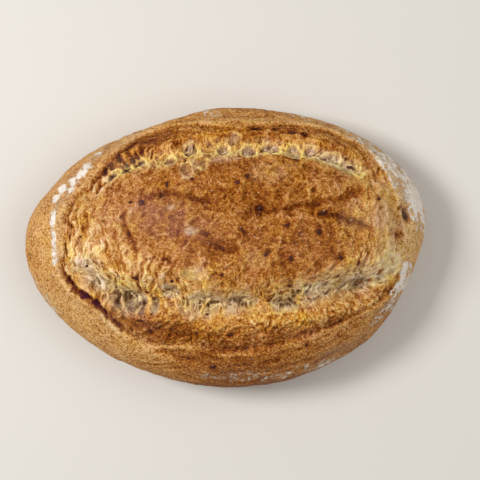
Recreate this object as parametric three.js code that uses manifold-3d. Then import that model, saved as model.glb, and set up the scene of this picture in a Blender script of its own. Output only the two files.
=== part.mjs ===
// A seeded sourdough loaf: an oval free-standing loaf with a smooth crust round its rim, and a top that has
// burst open along two long tears into a domed, craggy lid. It is one solid, with the larger seeds fused on.
// Millimetres, +X along the loaf, +Z up, origin on the table under the loaf's middle.

import * as THREE from "three";
import { mergeVertices } from "three/addons/utils/BufferGeometryUtils.js";
import Module from "manifold-3d";

// Driving sizes of the whole loaf.
const loafLength = 280;
const loafWidth = 195;
const loafHeight = 92;
const doughHeight = 86; // the crown before the lid is raised
const bellyHeight = { side: 30, end: 25 }; // height of the widest line
const footShare = 0.84; // the base on the table, as a share of the widest line
const crownSquareness = 2.15; // 2 is an ellipse, more is fuller shoulders
const footSquareness = 1.9;

// Mesh density: rings inside the torn lip, from there to the widest line, and from there to the foot.
const rings = { inLip: 29, toBelly: 6, toFoot: 5 };

// The widest line seen from above, and the torn lip inside it: ellipses with soft bulges.
// Each bulge is at an angle in degrees, spreads over some degrees, and adds a share to the radius.
const outline = {
  centre: [0, 0],
  halfLength: loafLength / 2,
  halfWidth: loafWidth / 2,
  bulges: [
    { at: 15, spread: 15, by: 0.042 },
    { at: 38, spread: 20, by: 0.049 },
    { at: -15, spread: 16, by: -0.057 },
    { at: 125, spread: 24, by: -0.057 },
    { at: 155, spread: 18, by: -0.016 },
    { at: 161, spread: 9, by: -0.033 },
    { at: 205, spread: 22, by: -0.039 },
    { at: 235, spread: 20, by: -0.027 },
  ],
};
const lip = {
  centre: [5, 7],
  halfLength: 119,
  halfWidth: 77,
  bulges: [
    { at: 33, spread: 18, by: 0.097 },
    { at: 55, spread: 20, by: 0.085 },
    { at: 122, spread: 18, by: 0.104 },
    { at: 155, spread: 18, by: -0.037 },
    { at: 182, spread: 7, by: -0.037 },
    { at: 193, spread: 7, by: 0.035 },
    { at: 208, spread: 8, by: -0.025 },
    { at: 220, spread: 8, by: 0.035 },
    { at: 234, spread: 9, by: 0.086 },
    { at: 254, spread: 8, by: -0.013 },
    { at: 274, spread: 14, by: 0.04 },
    { at: 343, spread: 11, by: 0.06 },
  ],
};

// The torn edge of the smooth crust rises slowly from outside and drops steeply inside into a gap. How
// strongly it rises and drops changes round the loaf: each place is at an angle, spreads over some degrees,
// and adds a share.
const lipCrest = {
  height: 0.9,
  inside: 1.2,
  outside: 5,
  places: [
    { at: 203, spread: 20, by: 0.6 },
    { at: 178, spread: 16, by: 0.1 },
    { at: 142, spread: 24, by: 0.9 },
    { at: 340, spread: 12, by: 0.4 },
  ],
};
const lipNotch = {
  depth: 4.5,
  width: 2.1,
  in: 2.8,
  places: [
    { at: 202, spread: 13, by: 0.65 },
    { at: 228, spread: 14, by: 0.15 },
    { at: 268, spread: 16, by: 0.6 },
    { at: 335, spread: 9, by: 0.2 },
    { at: 178, spread: 16, by: 0.2 },
    { at: 142, spread: 24, by: 0.4 },
  ],
};
const lid = { rise: 5, edge: 22 }; // how far the lid stands above the dough's own curve, and over what width
const ringDrop = 1.5; // how far the torn ring between lip and tears lies below it

// The two long tears, each a curve seen from above. The lid lies on the left of the way it runs.
const tears = [
  {
    route: [
      [-106, -14], [-96, -20], [-82, -29], [-56, -36], [-36, -36], [-16, -41], [0, -42], [17, -40],
      [50, -37], [63, -36], [80, -32], [97, -28], [114, -21],
    ],
    depth: 6.5,
    outerWidth: 4,
    innerWidth: 13,
    ridge: { height: 3, out: 10.5, width: 5.5 },
  },
  {
    route: [
      [98, 49], [86, 56], [72, 61], [50, 66], [25, 68], [0, 68], [-21, 66], [-38, 60], [-56, 58],
      [-76, 51], [-90, 41],
    ],
    depth: 3.5,
    outerWidth: 5,
    innerWidth: 6,
    ridge: { height: 1.4, out: 10, width: 4 },
  },
];

// Hollows torn into the lower tear, then the round bubbles of the upper one: turned ovals seen from above,
// each as x, y, half length, half width, turn in degrees, depth.
const hollows = [
  [-86, -24, 11, 5.5, -28, 1.6],
  [-62, -37, 12, 6.5, -12, 3.6],
  [-45, -40, 2.6, 4.5, 5, 3.4],
  [-34, -32, 6.5, 4.2, 12, 3],
  [-11, -38, 13, 5.5, 6, 3.2],
  [13, -38.5, 11, 4, -2, 2.2],
  [41, -39.5, 10, 3.4, -4, 2.2],
  [62, -29, 14, 5, 8, 1.2],
  [92, -26, 12, 5, 18, 1.4],
  [93, 52.5, 3.5, 2.6, -35, 1.2],
  [85, 56.5, 4.6, 2.8, -30, 1.6],
  [75, 61.5, 6.5, 3.2, -12, 2.4],
  [60, 66, 4, 3.6, 0, 2.2],
  [49, 65.5, 5.6, 4.6, -30, 2.8],
  [34, 68, 6, 3.6, -15, 2.6],
  [18, 66, 4.6, 4.3, 0, 3],
  [8, 74, 4.2, 3.2, 20, 1.8],
  [1, 67.5, 4.5, 4.2, 0, 2.8],
  [-14.5, 57, 4.6, 4.4, 0, 1.2],
  [-21.5, 67.5, 4.4, 4.4, 0, 2.8],
  [-23, 50.5, 3.4, 5.5, 10, 1.2],
  [-35, 58.5, 3.8, 3, 30, 2.2],
  [-56, 58.5, 4.6, 2.6, 25, 2.4],
  [-66, 54.5, 4, 2.4, 28, 2.6],
  [-76.5, 50.5, 3.6, 2.2, 35, 2.6],
];

// Folds of the rolled dough that show as grooves on the lid and the rim. One whose depth is below zero
// stands up instead.
const creases = [
  { route: [[-64, 29], [-64, 19], [-62, 11], [-58, 4], [-57, -1], [-55, -9]], depth: 2.2, width: 2.4 },
  { route: [[-49, 31], [-42, 34], [-34, 35], [-25, 33], [-17, 31], [-6, 28]], depth: 2, width: 2.6 },
  { route: [[8, 19], [25, 24], [45, 26], [71, 31], [86, 35], [97, 39]], depth: 2.8, width: 3.6 },
  { route: [[64, 22], [75, 21], [87, 17], [102, 10]], depth: 2.8, width: 3.2 },
  { route: [[-12, 3], [-2, 2], [5, -1], [14, -1]], depth: 2.2, width: 3 },
  { route: [[-78, -42], [-62, -58], [-47, -66], [-27, -75], [-7, -79]], depth: 1.6, width: 3 },
  { route: [[-40, 86], [-14, 90], [12, 91], [40, 88]], depth: 1.4, width: 3 },
  { route: [[-101, -18], [-91, -27], [-82, -32], [-73, -38], [-64, -44]], depth: -1, width: 3 },
  { route: [[-88, 36], [-80, 46], [-68, 56], [-54, 66]], depth: 1.8, width: 2.2 },
];
const endPocket = { at: [127, 23], halfLength: 4, halfWidth: 8, depth: 4 };

// Uneven dough: soft lumps over the whole loaf, crags on the torn parts, each so high and so far apart.
const lumps = { height: 2, apart: 44, seed: 3, setIn: 10 }; // they set in over this height above the table
const crags = { height: 1.6, apart: 12, seed: 11 };
const reliefSetIn = 8; // all relief on the top sets in over this height above the widest line
const tearEnds = 0.1; // the share of its length over which a tear opens at each end
const creaseEnds = 0.2;

// Seeds, as flattened ovals lying in the crust. The placed ones are the large dark ones.
const seedHalf = { length: 2.4, width: 1.3, thickness: 0.95 };
const seedSunk = 0.4; // how far a seed's middle lies below the crust
const placedSeeds = [
  [25, 26], [65, 22], [63, 10], [77, -6], [45, -7], [29, -4], [-57, -20],
  [89, -10], [104, 32], [17, 46], [10, 42], [47, 78], [88, 57],
];
const scatteredSeeds = { count: 24, seed: 29, reach: 0.86, apart: 12, smallest: 0.75 };

const crust = new THREE.MeshStandardMaterial({
  name: "browned crust",
  color: "#b9824a",
  roughness: 0.85,
  metalness: 0,
});

const degrees = Math.PI / 180;
const bell = (distance, width) => Math.exp(-((distance / width) ** 2));

// Rises softly from 0 at the first value to 1 at the second, which may be the smaller.
function smooth(from, to, x) {
  const t = THREE.MathUtils.clamp((x - from) / (to - from), 0, 1);
  return t * t * (3 - 2 * t);
}

// A value from -1 to 1 for a lattice corner: its whole-number place is mixed with large odd numbers.
const mixers = [374761393, 668265263, 1440662683, 974634777, 1274126177];
function cornerValue(corner, seed) {
  let mixed = Math.imul(seed, mixers[3]);
  corner.forEach((whole, i) => (mixed ^= Math.imul(whole, mixers[i])));
  mixed = Math.imul(mixed ^ (mixed >>> 13), mixers[4]);
  return ((mixed ^ (mixed >>> 16)) >>> 0) / 2 ** 31 - 1;
}

// Smooth noise from -1 to 1: corner values of a lattice so far apart, blended over each cell.
function noise(point, apart, seed) {
  const at = [point.x / apart, point.y / apart, point.z / apart];
  const cell = at.map(Math.floor);
  const part = at.map((v, i) => smooth(0, 1, v - cell[i]));
  let sum = 0;
  for (let corner = 0; corner < 8; corner++) {
    const up = [corner & 1, (corner >> 1) & 1, corner >> 2];
    const weight = up.reduce((w, u, i) => w * (u ? part[i] : 1 - part[i]), 1);
    sum += weight * cornerValue(cell.map((whole, i) => whole + up[i]), seed);
  }
  return sum;
}

// How far an angle in radians has turned from one in degrees, in degrees either way.
const turnFrom = (at, angle) => THREE.MathUtils.euclideanModulo(angle / degrees - at + 180, 360) - 180;

// Radius of an ellipse with bulges at an angle in radians.
function radiusOf(shape, angle) {
  let radius = 1 / Math.hypot(Math.cos(angle) / shape.halfLength, Math.sin(angle) / shape.halfWidth);
  for (const { at, spread, by } of shape.bulges) radius *= 1 + by * bell(turnFrom(at, angle), spread);
  return radius;
}

// A smooth curve through a route seen from above, as short straight steps.
function stepsAlong(route, steps = 48) {
  const corners = route.map(([x, y]) => new THREE.Vector3(x, y, 0));
  return new THREE.CatmullRomCurve3(corners, false, "catmullrom", 0.5).getPoints(steps);
}

// Nearest place on a stepped curve: share of its length, and distance, positive on its left.
function placeOn(steps, x, y) {
  let best = { share: 0, across: Infinity };
  for (let i = 0; i + 1 < steps.length; i++) {
    const a = steps[i];
    const along = { x: steps[i + 1].x - a.x, y: steps[i + 1].y - a.y };
    const away = { x: x - a.x, y: y - a.y };
    const t = (away.x * along.x + away.y * along.y) / (along.x ** 2 + along.y ** 2);
    const on = THREE.MathUtils.clamp(t, 0, 1);
    const distance = Math.hypot(away.x - on * along.x, away.y - on * along.y);
    if (distance < Math.abs(best.across)) {
      const side = along.x * away.y - along.y * away.x < 0 ? -1 : 1;
      best = { share: (i + on) / (steps.length - 1), across: side * distance };
    }
  }
  return best;
}

const tearSteps = tears.map((tear) => stepsAlong(tear.route));
const creaseSteps = creases.map((crease) => stepsAlong(crease.route, 24));

// How far the widest line is from the middle at an angle, and how high it lies there.
const bellyAt = (angle) => ({
  radius: radiusOf(outline, angle),
  height: THREE.MathUtils.lerp(bellyHeight.side, bellyHeight.end, Math.cos(angle) ** 2),
});

// The plain dough above the widest line: a dome over a point seen from above.
function domePoint(x, y) {
  const belly = bellyAt(Math.atan2(y, x));
  const reach = Math.min(Math.hypot(x, y) / belly.radius, 1);
  const rise = (1 - reach ** crownSquareness) ** (1 / crownSquareness);
  return new THREE.Vector3(x, y, belly.height + (doughHeight - belly.height) * rise);
}

// The plain dough below the widest line: it tucks under to the foot in a quarter oval.
function tuckPoint(angle, share) {
  const belly = bellyAt(angle);
  const turn = (share * Math.PI) / 2;
  const reach = belly.radius * (footShare + (1 - footShare) * Math.cos(turn) ** (2 / footSquareness));
  const height = belly.height * (1 - Math.sin(turn) ** (2 / footSquareness));
  return new THREE.Vector3(reach * Math.cos(angle), reach * Math.sin(angle), height);
}

// The way out of the dough's surface, taken as that of a plain oval body.
function wayOut(point) {
  const belly = bellyAt(Math.atan2(point.y, point.x)).height;
  const halfHeight = point.z > belly ? doughHeight - belly : belly;
  const across = [outline.halfLength, outline.halfWidth, halfHeight];
  return new THREE.Vector3(
    point.x / across[0] ** 2,
    point.y / across[1] ** 2,
    (point.z - belly) / across[2] ** 2,
  ).normalize();
}

// The sum of the shares that a list of places round the loaf gives at an angle in radians.
function shareAt(places, angle) {
  return places.reduce((sum, { at, spread, by }) => sum + by * bell(turnFrom(at, angle), spread), 0);
}

// How far out a point lies in a turned oval seen from above: 0 in its middle, 1 on its edge.
function farOut(point, x, y, halfLength, halfWidth, turn) {
  const [c, s] = [Math.cos(turn * degrees), Math.sin(turn * degrees)];
  const [dx, dy] = [point.x - x, point.y - y];
  return Math.hypot((dx * c + dy * s) / halfLength, (dy * c - dx * s) / halfWidth);
}

// Height of the lid, lip, tears, hollows and creases above the plain dough, at a point on it.
function reliefAt(point) {
  const [cx, cy] = lip.centre;
  const angle = Math.atan2(point.y - cy, point.x - cx);
  const pastLip = Math.hypot(point.x - cx, point.y - cy) - radiusOf(lip, angle);
  const torn = smooth(0, -lipNotch.in, pastLip);
  let onLid = smooth(0, -lid.edge, pastLip);
  const crestWidth = pastLip < 0 ? lipCrest.inside : lipCrest.outside;
  let height = shareAt(lipCrest.places, angle) * lipCrest.height * bell(pastLip, crestWidth);
  height -= shareAt(lipNotch.places, angle) * lipNotch.depth * bell(pastLip + lipNotch.in, lipNotch.width);
  tears.forEach((tear, i) => {
    const { share, across } = placeOn(tearSteps[i], point.x, point.y);
    const open = smooth(0, tearEnds, share) * smooth(1, 1 - tearEnds, share);
    height -= tear.depth * open * bell(across, across < 0 ? tear.outerWidth : tear.innerWidth);
    height += tear.ridge.height * open * bell(across + tear.ridge.out, tear.ridge.width);
    onLid *= smooth(-tear.outerWidth, lid.edge, across);
  });
  for (const [x, y, halfLength, halfWidth, turn, depth] of hollows) {
    height -= depth * Math.exp(-(farOut(point, x, y, halfLength, halfWidth, turn) ** 4));
  }
  height += lid.rise * onLid - ringDrop * torn * (1 - onLid);
  creases.forEach((crease, i) => {
    const { share, across } = placeOn(creaseSteps[i], point.x, point.y);
    const sunk = smooth(0, creaseEnds, share) * smooth(1, 1 - creaseEnds, share);
    height -= crease.depth * sunk * bell(across, crease.width);
  });
  const { at, halfLength, halfWidth, depth } = endPocket;
  height -= depth * bell(point.x - at[0], halfLength) * bell(point.y - at[1], halfWidth);
  return height + torn * crags.height * noise(point, crags.apart, crags.seed);
}

// The point of the crust over a point of the plain dough: moved out by lumps and, on top, by the relief.
function crustPoint(dough) {
  const belly = bellyAt(Math.atan2(dough.y, dough.x)).height;
  const onTop = smooth(belly, belly + reliefSetIn, dough.z);
  let height = lumps.height * noise(dough, lumps.apart, lumps.seed) * smooth(0, lumps.setIn, dough.z);
  if (onTop > 0) height += onTop * reliefAt(dough);
  return dough.clone().addScaledVector(wayOut(dough), height);
}

// Plain dough point at an angle round the lip's middle, on a ring numbered from the crown out.
function ringPoint(ring, angle) {
  const [cx, cy] = lip.centre;
  const lipRadius = radiusOf(lip, angle);
  if (ring <= rings.inLip) {
    const evenly = (ring / (rings.inLip - 1)) * (lipRadius - lipNotch.in);
    const radius = ring < rings.inLip ? evenly : lipRadius;
    return domePoint(cx + radius * Math.cos(angle), cy + radius * Math.sin(angle));
  }
  const onLip = { x: cx + lipRadius * Math.cos(angle), y: cy + lipRadius * Math.sin(angle) };
  const round = Math.atan2(onLip.y, onLip.x);
  const past = (ring - rings.inLip) / rings.toBelly;
  if (past > 1) return tuckPoint(round, (ring - rings.inLip - rings.toBelly) / rings.toFoot);
  const belly = bellyAt(round).radius;
  const lipTurn = Math.asin((Math.hypot(onLip.x, onLip.y) / belly) ** (crownSquareness / 2));
  const reach = belly * Math.sin(THREE.MathUtils.lerp(lipTurn, Math.PI / 2, past)) ** (2 / crownSquareness);
  return domePoint(reach * Math.cos(round), reach * Math.sin(round));
}

// The crust as rings of points. Down to the widest line each ring has six more than the last, and below it
// all have the same number. A flat base closes the last ring.
function crustGeometry() {
  const points = [crustPoint(ringPoint(0, 0))];
  const faces = [];
  const topRings = rings.inLip + rings.toBelly;
  let last = [0];
  for (let ring = 1; ring <= topRings + rings.toFoot; ring++) {
    const count = 6 * Math.min(ring, topRings);
    const start = points.length;
    const next = Array.from({ length: count }, (_, i) => start + i);
    for (let i = 0; i < count; i++) points.push(crustPoint(ringPoint(ring, (i / count) * 2 * Math.PI)));
    stitch(last, next, faces);
    last = next;
  }
  const baseCentre = points.push(new THREE.Vector3(0, 0, 0)) - 1;
  last.forEach((corner, i) => {
    points[corner].z = 0;
    faces.push(baseCentre, last[(i + 1) % last.length], corner);
  });
  const geometry = new THREE.BufferGeometry().setFromPoints(points);
  geometry.setIndex(faces);
  return fitToSize(geometry);
}

// Faces between two closed rings of points, where the outer one has as many points or six more.
function stitch(inner, outer, faces) {
  const side = { inner: inner.length === 1 ? 0 : inner.length / 6, outer: outer.length / 6 };
  const innerAt = (i) => inner[i % inner.length];
  const outerAt = (i) => outer[i % outer.length];
  for (let sector = 0; sector < 6; sector++) {
    for (let i = 0; i < side.outer; i++) {
      const from = sector * side.inner + i;
      const to = sector * side.outer + i;
      faces.push(innerAt(from), outerAt(to), outerAt(to + 1));
      if (i < side.inner) faces.push(innerAt(from), outerAt(to + 1), innerAt(from + 1));
    }
  }
}

// Moves and stretches the crust slightly, so that it has exactly the driving sizes.
function fitToSize(geometry) {
  geometry.computeBoundingBox();
  const { min, max } = geometry.boundingBox;
  geometry.translate(-(min.x + max.x) / 2, -(min.y + max.y) / 2, 0);
  geometry.scale(loafLength / (max.x - min.x), loafWidth / (max.y - min.y), loafHeight / max.z);
  geometry.computeBoundingSphere();
  return geometry;
}

// A repeatable draw of numbers from 0 to 1: each is worked out from the one before.
function drawFrom(seed) {
  const [times, plus] = [1664525, 1013904223];
  let state = seed;
  return () => {
    state = (Math.imul(state, times) + plus) >>> 0;
    return state / 2 ** 32;
  };
}

// Where the seeds lie, seen from above: the placed ones, then scattered ones that keep clear of each other.
function seedPlaces() {
  const draw = drawFrom(scatteredSeeds.seed);
  const places = placedSeeds.map(([x, y]) => ({ x, y, turn: draw() * Math.PI, size: 1 }));
  const isClear = (x, y) => places.every((p) => Math.hypot(p.x - x, p.y - y) > scatteredSeeds.apart);
  while (places.length < placedSeeds.length + scatteredSeeds.count) {
    const angle = draw() * 2 * Math.PI;
    const reach = scatteredSeeds.reach * Math.sqrt(draw()) * radiusOf(outline, angle);
    const [x, y] = [reach * Math.cos(angle), reach * Math.sin(angle)];
    const turn = draw() * Math.PI;
    const size = THREE.MathUtils.lerp(scatteredSeeds.smallest, 1, draw());
    if (isClear(x, y)) places.push({ x, y, turn, size });
  }
  return places;
}

// One seed lying on the crust: an oval turned about the crust's normal there.
function seedGeometry(crustMesh, { x, y, turn, size }) {
  const down = new THREE.Raycaster(new THREE.Vector3(x, y, 2 * loafHeight), new THREE.Vector3(0, 0, -1));
  const { point, face } = down.intersectObject(crustMesh)[0];
  const [sides, bands] = [6, 4];
  const seed = new THREE.SphereGeometry(1, sides, bands);
  seed.rotateX(Math.PI / 2);
  seed.scale(size * seedHalf.length, size * seedHalf.width, size * seedHalf.thickness);
  seed.rotateZ(turn);
  const lie = new THREE.Quaternion().setFromUnitVectors(new THREE.Vector3(0, 0, 1), face.normal);
  seed.applyQuaternion(lie);
  const middle = point.clone().addScaledVector(face.normal, -seedSunk);
  return seed.translate(middle.x, middle.y, middle.z);
}

const wasm = await Module();
wasm.setup();

// A closed geometry as a solid for joining.
function solidOf(geometry) {
  const bare = geometry.clone();
  bare.deleteAttribute("normal");
  bare.deleteAttribute("uv");
  const merged = mergeVertices(bare, 1e-4);
  const mesh = new wasm.Mesh({
    numProp: 3,
    vertProperties: new Float32Array(merged.attributes.position.array),
    triVerts: new Uint32Array(merged.index.array),
  });
  return new wasm.Manifold(mesh);
}

// The largest body of a solid as a geometry, which leaves out any loose scrap.
function geometryOf(solid) {
  const largest = solid.decompose().reduce((a, b) => (a.volume() > b.volume() ? a : b));
  const { vertProperties, triVerts } = largest.getMesh();
  const geometry = new THREE.BufferGeometry();
  geometry.setAttribute("position", new THREE.BufferAttribute(vertProperties, 3));
  geometry.setIndex(new THREE.BufferAttribute(triVerts, 1));
  geometry.computeVertexNormals();
  return geometry;
}

// The loaf with its seeds fused on.
function loafGeometry() {
  const bare = crustGeometry();
  const crustMesh = new THREE.Mesh(bare, crust);
  const seeds = seedPlaces().map((place) => solidOf(seedGeometry(crustMesh, place)));
  return geometryOf(seeds.reduce((whole, seed) => whole.add(seed), solidOf(bare)));
}

const loaf = new THREE.Mesh(loafGeometry(), crust);
loaf.name = "loaf";

const model = new THREE.Group();
model.add(loaf);

export default model;
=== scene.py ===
# Seeded sourdough loaf, seen from straight above: a smooth floured rim crust, and a top burst open along two
# tears. Shapes are worked out in millimetres in the frame's axes, and turned to metres as a mesh is made.
import math

import bpy
import numpy as np
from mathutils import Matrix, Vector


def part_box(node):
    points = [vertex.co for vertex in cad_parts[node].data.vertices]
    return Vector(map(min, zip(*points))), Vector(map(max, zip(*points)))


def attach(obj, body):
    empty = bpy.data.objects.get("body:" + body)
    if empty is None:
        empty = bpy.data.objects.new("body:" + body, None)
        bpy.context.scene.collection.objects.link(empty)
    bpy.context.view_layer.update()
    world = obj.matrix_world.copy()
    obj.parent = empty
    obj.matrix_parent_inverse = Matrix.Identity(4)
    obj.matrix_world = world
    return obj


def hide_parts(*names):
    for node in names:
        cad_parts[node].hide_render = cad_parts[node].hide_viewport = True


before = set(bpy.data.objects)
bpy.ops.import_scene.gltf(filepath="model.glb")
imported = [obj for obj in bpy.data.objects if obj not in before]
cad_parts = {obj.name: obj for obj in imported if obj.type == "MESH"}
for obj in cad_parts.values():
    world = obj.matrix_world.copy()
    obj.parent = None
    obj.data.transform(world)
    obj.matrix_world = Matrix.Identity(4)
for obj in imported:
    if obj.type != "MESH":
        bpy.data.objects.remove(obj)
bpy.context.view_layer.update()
millimetre = 0.001
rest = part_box("loaf")


# Colour, node and mesh helpers

def linear(hexColour):
    # sRGB hex to the linear values that shaders take
    srgb = [int(hexColour[i:i + 2], 16) / 255 for i in (1, 3, 5)]
    return [c / 12.92 if c <= 0.04045 else ((c + 0.055) / 1.055) ** 2.4 for c in srgb] + [1.0]


def addNode(tree, kind, settings=None, **links):
    # one node with its settings, and inputs set to a value or linked to a socket or a node's first output:
    # an input goes by its label with spaces as underscores, or by "in" and its number
    node = tree.nodes.new("ShaderNode" + kind)
    for name, value in (settings or {}).items():
        setattr(node, name, value)
    for name, value in links.items():
        byNumber = name[:2] == "in" and name[2:].isdigit()
        socket = node.inputs[int(name[2:])] if byNumber else node.inputs[name.replace("_", " ")]
        if isinstance(value, bpy.types.Node):
            value = value.outputs[0]
        if isinstance(value, bpy.types.NodeSocket):
            tree.links.new(value, socket)
        else:
            socket.default_value = value
    return node


def newMaterial(name):
    # an empty material and its node tree
    material = bpy.data.materials.new(name)
    material.use_nodes = True
    material.node_tree.nodes.clear()
    return material, material.node_tree


def makePiece(name, points, faces, material, attributes=None):
    # a mesh object from points in millimetres and lists of faces with 3 or 4 corners each
    mesh = bpy.data.meshes.new(name)
    mesh.vertices.add(len(points))
    mesh.vertices.foreach_set("co", (np.asarray(points, dtype=np.float32) * millimetre).ravel())
    corners = np.concatenate([np.asarray(f).ravel() for f in faces])
    sizes = np.concatenate([np.full(len(f), np.asarray(f).shape[1]) for f in faces])
    mesh.loops.add(len(corners))
    mesh.loops.foreach_set("vertex_index", corners.astype(np.int32))
    mesh.polygons.add(len(sizes))
    starts = np.concatenate([[0], np.cumsum(sizes)[:-1]])
    mesh.polygons.foreach_set("loop_start", starts.astype(np.int32))
    mesh.update(calc_edges=True)
    mesh.shade_smooth()
    for key, values in (attributes or {}).items():
        mesh.attributes.new(key, "FLOAT", "POINT").data.foreach_set("value", values.astype(np.float32))
    mesh.materials.append(material)
    piece = bpy.data.objects.new(name, mesh)
    bpy.context.scene.collection.objects.link(piece)
    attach(piece, "root")
    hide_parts("loaf")
    print(name, "made:", int((sizes - 2).sum()), "triangles")
    return piece


# Camera: straight down, about a metre above the table

cameraView = dict(
    overX=10.3, overY=5.3,  # point of the table under the lens
    height=1000,
    lens=104.3,  # millimetres on a 36 mm sensor
)
cameraData = bpy.data.cameras.new("camera")
cameraData.lens = cameraView["lens"]
cameraData.sensor_width = 36
camera = bpy.data.objects.new("camera", cameraData)
camera.location = [cameraView[k] * millimetre for k in ("overX", "overY", "height")]
bpy.context.scene.collection.objects.link(camera)
bpy.context.scene.camera = camera
print("camera placed")


# Soft steps and noise on whole arrays

def bell(distance, width):
    # exp(-(distance / width)^2): 1 in the middle, 0.37 at the width
    return np.exp(-(distance / width) ** 2)


def smooth(start, end, x):
    # rises softly from 0 at start to 1 at end, which may be the smaller
    t = np.clip((x - start) / (end - start), 0, 1)
    return t * t * (3 - 2 * t)


def fadeEnds(share, over):
    # 1 along a route, down to 0 over a share of it at each end
    return smooth(0, over, share) * smooth(1, 1 - over, share)


mixers = np.array([374761393, 668265263, 1440662683, 974634777, 1274126177], dtype=np.uint32)


def cornerHash(cell, seed):
    # mixes the whole-number place of a lattice corner and a seed into 32 random bits
    mixed = np.uint32(seed) * mixers[3]
    for axis in range(3):
        mixed = mixed ^ (cell[axis].astype(np.int64).astype(np.uint32) * mixers[axis])
    mixed = (mixed ^ (mixed >> np.uint32(13))) * mixers[4]
    return mixed ^ (mixed >> np.uint32(16))


def threeShares(bits):
    # three numbers from 0 to 1 out of 30 random bits
    return [((bits >> np.uint32(shift)) & np.uint32(1023)) / 1023 for shift in (0, 10, 20)]


def lattice(point, apart):
    # the lattice cell that each point is in, and how far across it, as a share; a spacing can differ by axis
    at = np.asarray(point) / np.reshape(np.asarray(apart, dtype=float), (-1, 1))
    cell = np.floor(at)
    return cell, at - cell


def blendCorners(point, apart, seed, cornerValue):
    # sum over a cell's eight corners of the corner's value times its smooth weight
    cell, part = lattice(point, apart)
    soft = part * part * (3 - 2 * part)
    total = np.zeros(part.shape[1])
    for corner in range(8):
        up = np.array([corner & 1, (corner >> 1) & 1, corner >> 2]).reshape(3, 1)
        weight = np.prod(np.where(up, soft, 1 - soft), axis=0)
        total += weight * cornerValue(cornerHash(cell + up, seed), part - up)
    return total


def valueNoise(point, apart, seed):
    # smooth noise from -1 to 1 between random corner heights
    return blendCorners(point, apart, seed, lambda bits, away: bits / 2.0 ** 31 - 1)


def slopeNoise(point, apart, seed):
    # smooth noise of about -1 to 1 between random corner slopes, more even than valueNoise
    def cornerSlope(bits, away):
        return sum((2 * share - 1) * away[axis] for axis, share in enumerate(threeShares(bits)))
    return 1.5 * blendCorners(point, apart, seed, cornerSlope)


def noiseLayers(point, layers, seed, step=1):
    # the sum of smooth noise at several spacings, each with its height; the seed grows by a step for each
    return sum(height * slopeNoise(point, apart, seed + i * step) for i, (apart, height) in enumerate(layers))


def ridges(point, octaves, seed):
    # sharp crests where smooth noise passes through zero, at several spacings, each with its height:
    # the sum of height times (1 - 3.2 |noise|), as a share of the heights' sum
    total = sum(height * (1 - 3.2 * np.abs(slopeNoise(point, apart, seed + i)))
                for i, (apart, height) in enumerate(octaves))
    return total / sum(height for _, height in octaves)


def cells(point, apart, seed):
    # one random centre in each lattice cell: how far a point is from the nearest and from the next one,
    # as shares of the lattice, and a random number that belongs to the nearest
    cell, part = lattice(point, apart)
    nearest = np.full(part.shape[1], 9.0)
    second = nearest.copy()
    own = np.zeros(part.shape[1])
    for step in np.ndindex(3, 3, 3):
        offset = np.array(step).reshape(3, 1) - 1
        bits = cornerHash(cell + offset, seed)
        away = np.sqrt(sum((offset[i] + share - part[i]) ** 2 for i, share in enumerate(threeShares(bits))))
        closer = away < nearest
        second = np.where(closer, nearest, np.minimum(second, away))
        own = np.where(closer, (bits & np.uint32(65535)) / 65535, own)
        nearest = np.where(closer, away, nearest)
    return nearest, second, own


# The loaf's plain form, from the same sizes as the solid

dough = dict(
    halfLength=140, halfWidth=97.5,
    height=86,  # crown before the lid is raised
    bellySide=30, bellyEnd=25,  # height of the widest line
    footShare=0.84,  # base on the table, as a share of the widest line
    crownSquareness=2.15, footSquareness=1.9,
    bulges=[  # at degrees, over degrees, by a share of the radius
        (15, 15, 0.042), (38, 20, 0.049), (-15, 16, -0.057), (125, 24, -0.057), (155, 18, -0.016),
        (161, 9, -0.033), (205, 22, -0.039), (235, 20, -0.027),
    ],
    lumpHeight=2, lumpsApart=44,
    lumpFade=10, fineFade=4, formFade=8,  # heights in which these fade in, above the table or the widest line
)
lip = dict(
    centreX=5, centreY=7, halfLength=119, halfWidth=77,
    bulges=[(33, 18, 0.097), (55, 20, 0.085), (122, 18, 0.104), (155, 18, -0.037), (182, 7, -0.037),
            (193, 7, 0.035), (208, 8, -0.025), (220, 8, 0.035), (234, 9, 0.086), (254, 8, -0.013),
            (274, 14, 0.04), (343, 11, 0.06)],
    crestHeight=0.9, crestIn=1.2, crestOut=5,  # the torn edge rises slowly and drops steeply inside
    notchDepth=4.5, notchWidth=2.1, notchIn=2.8,
    wander=[(9, 0.7), (3.2, 0.5)],  # how it strays: millimetres apart, how far
    # at degrees, over degrees, share of the height or depth
    crestAt=[(203, 20, 0.6), (178, 16, 0.1), (142, 24, 0.9), (340, 12, 0.4)],
    notchAt=[(202, 13, 0.65), (228, 14, 0.15), (268, 16, 0.6), (335, 9, 0.2), (178, 16, 0.2), (142, 24, 0.4)],
)
lid = dict(rise=5, edge=22, ringDrop=1.5, cragHeight=1.6, cragsApart=12)
tears = [
    dict(route=[(-106, -14), (-96, -20), (-82, -29), (-56, -36), (-36, -36), (-16, -41), (0, -42), (17, -40),
                (50, -37), (63, -36), (80, -32), (97, -28), (114, -21)],
         depth=6.5, outerWidth=4, innerWidth=13, ridgeHeight=3, ridgeOut=10.5, ridgeWidth=5.5),
    dict(route=[(98, 49), (86, 56), (72, 61), (50, 66), (25, 68), (0, 68), (-21, 66), (-38, 60), (-56, 58),
                (-76, 51), (-90, 41)],
         depth=3.5, outerWidth=5, innerWidth=6, ridgeHeight=1.4, ridgeOut=10, ridgeWidth=4),
]
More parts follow.
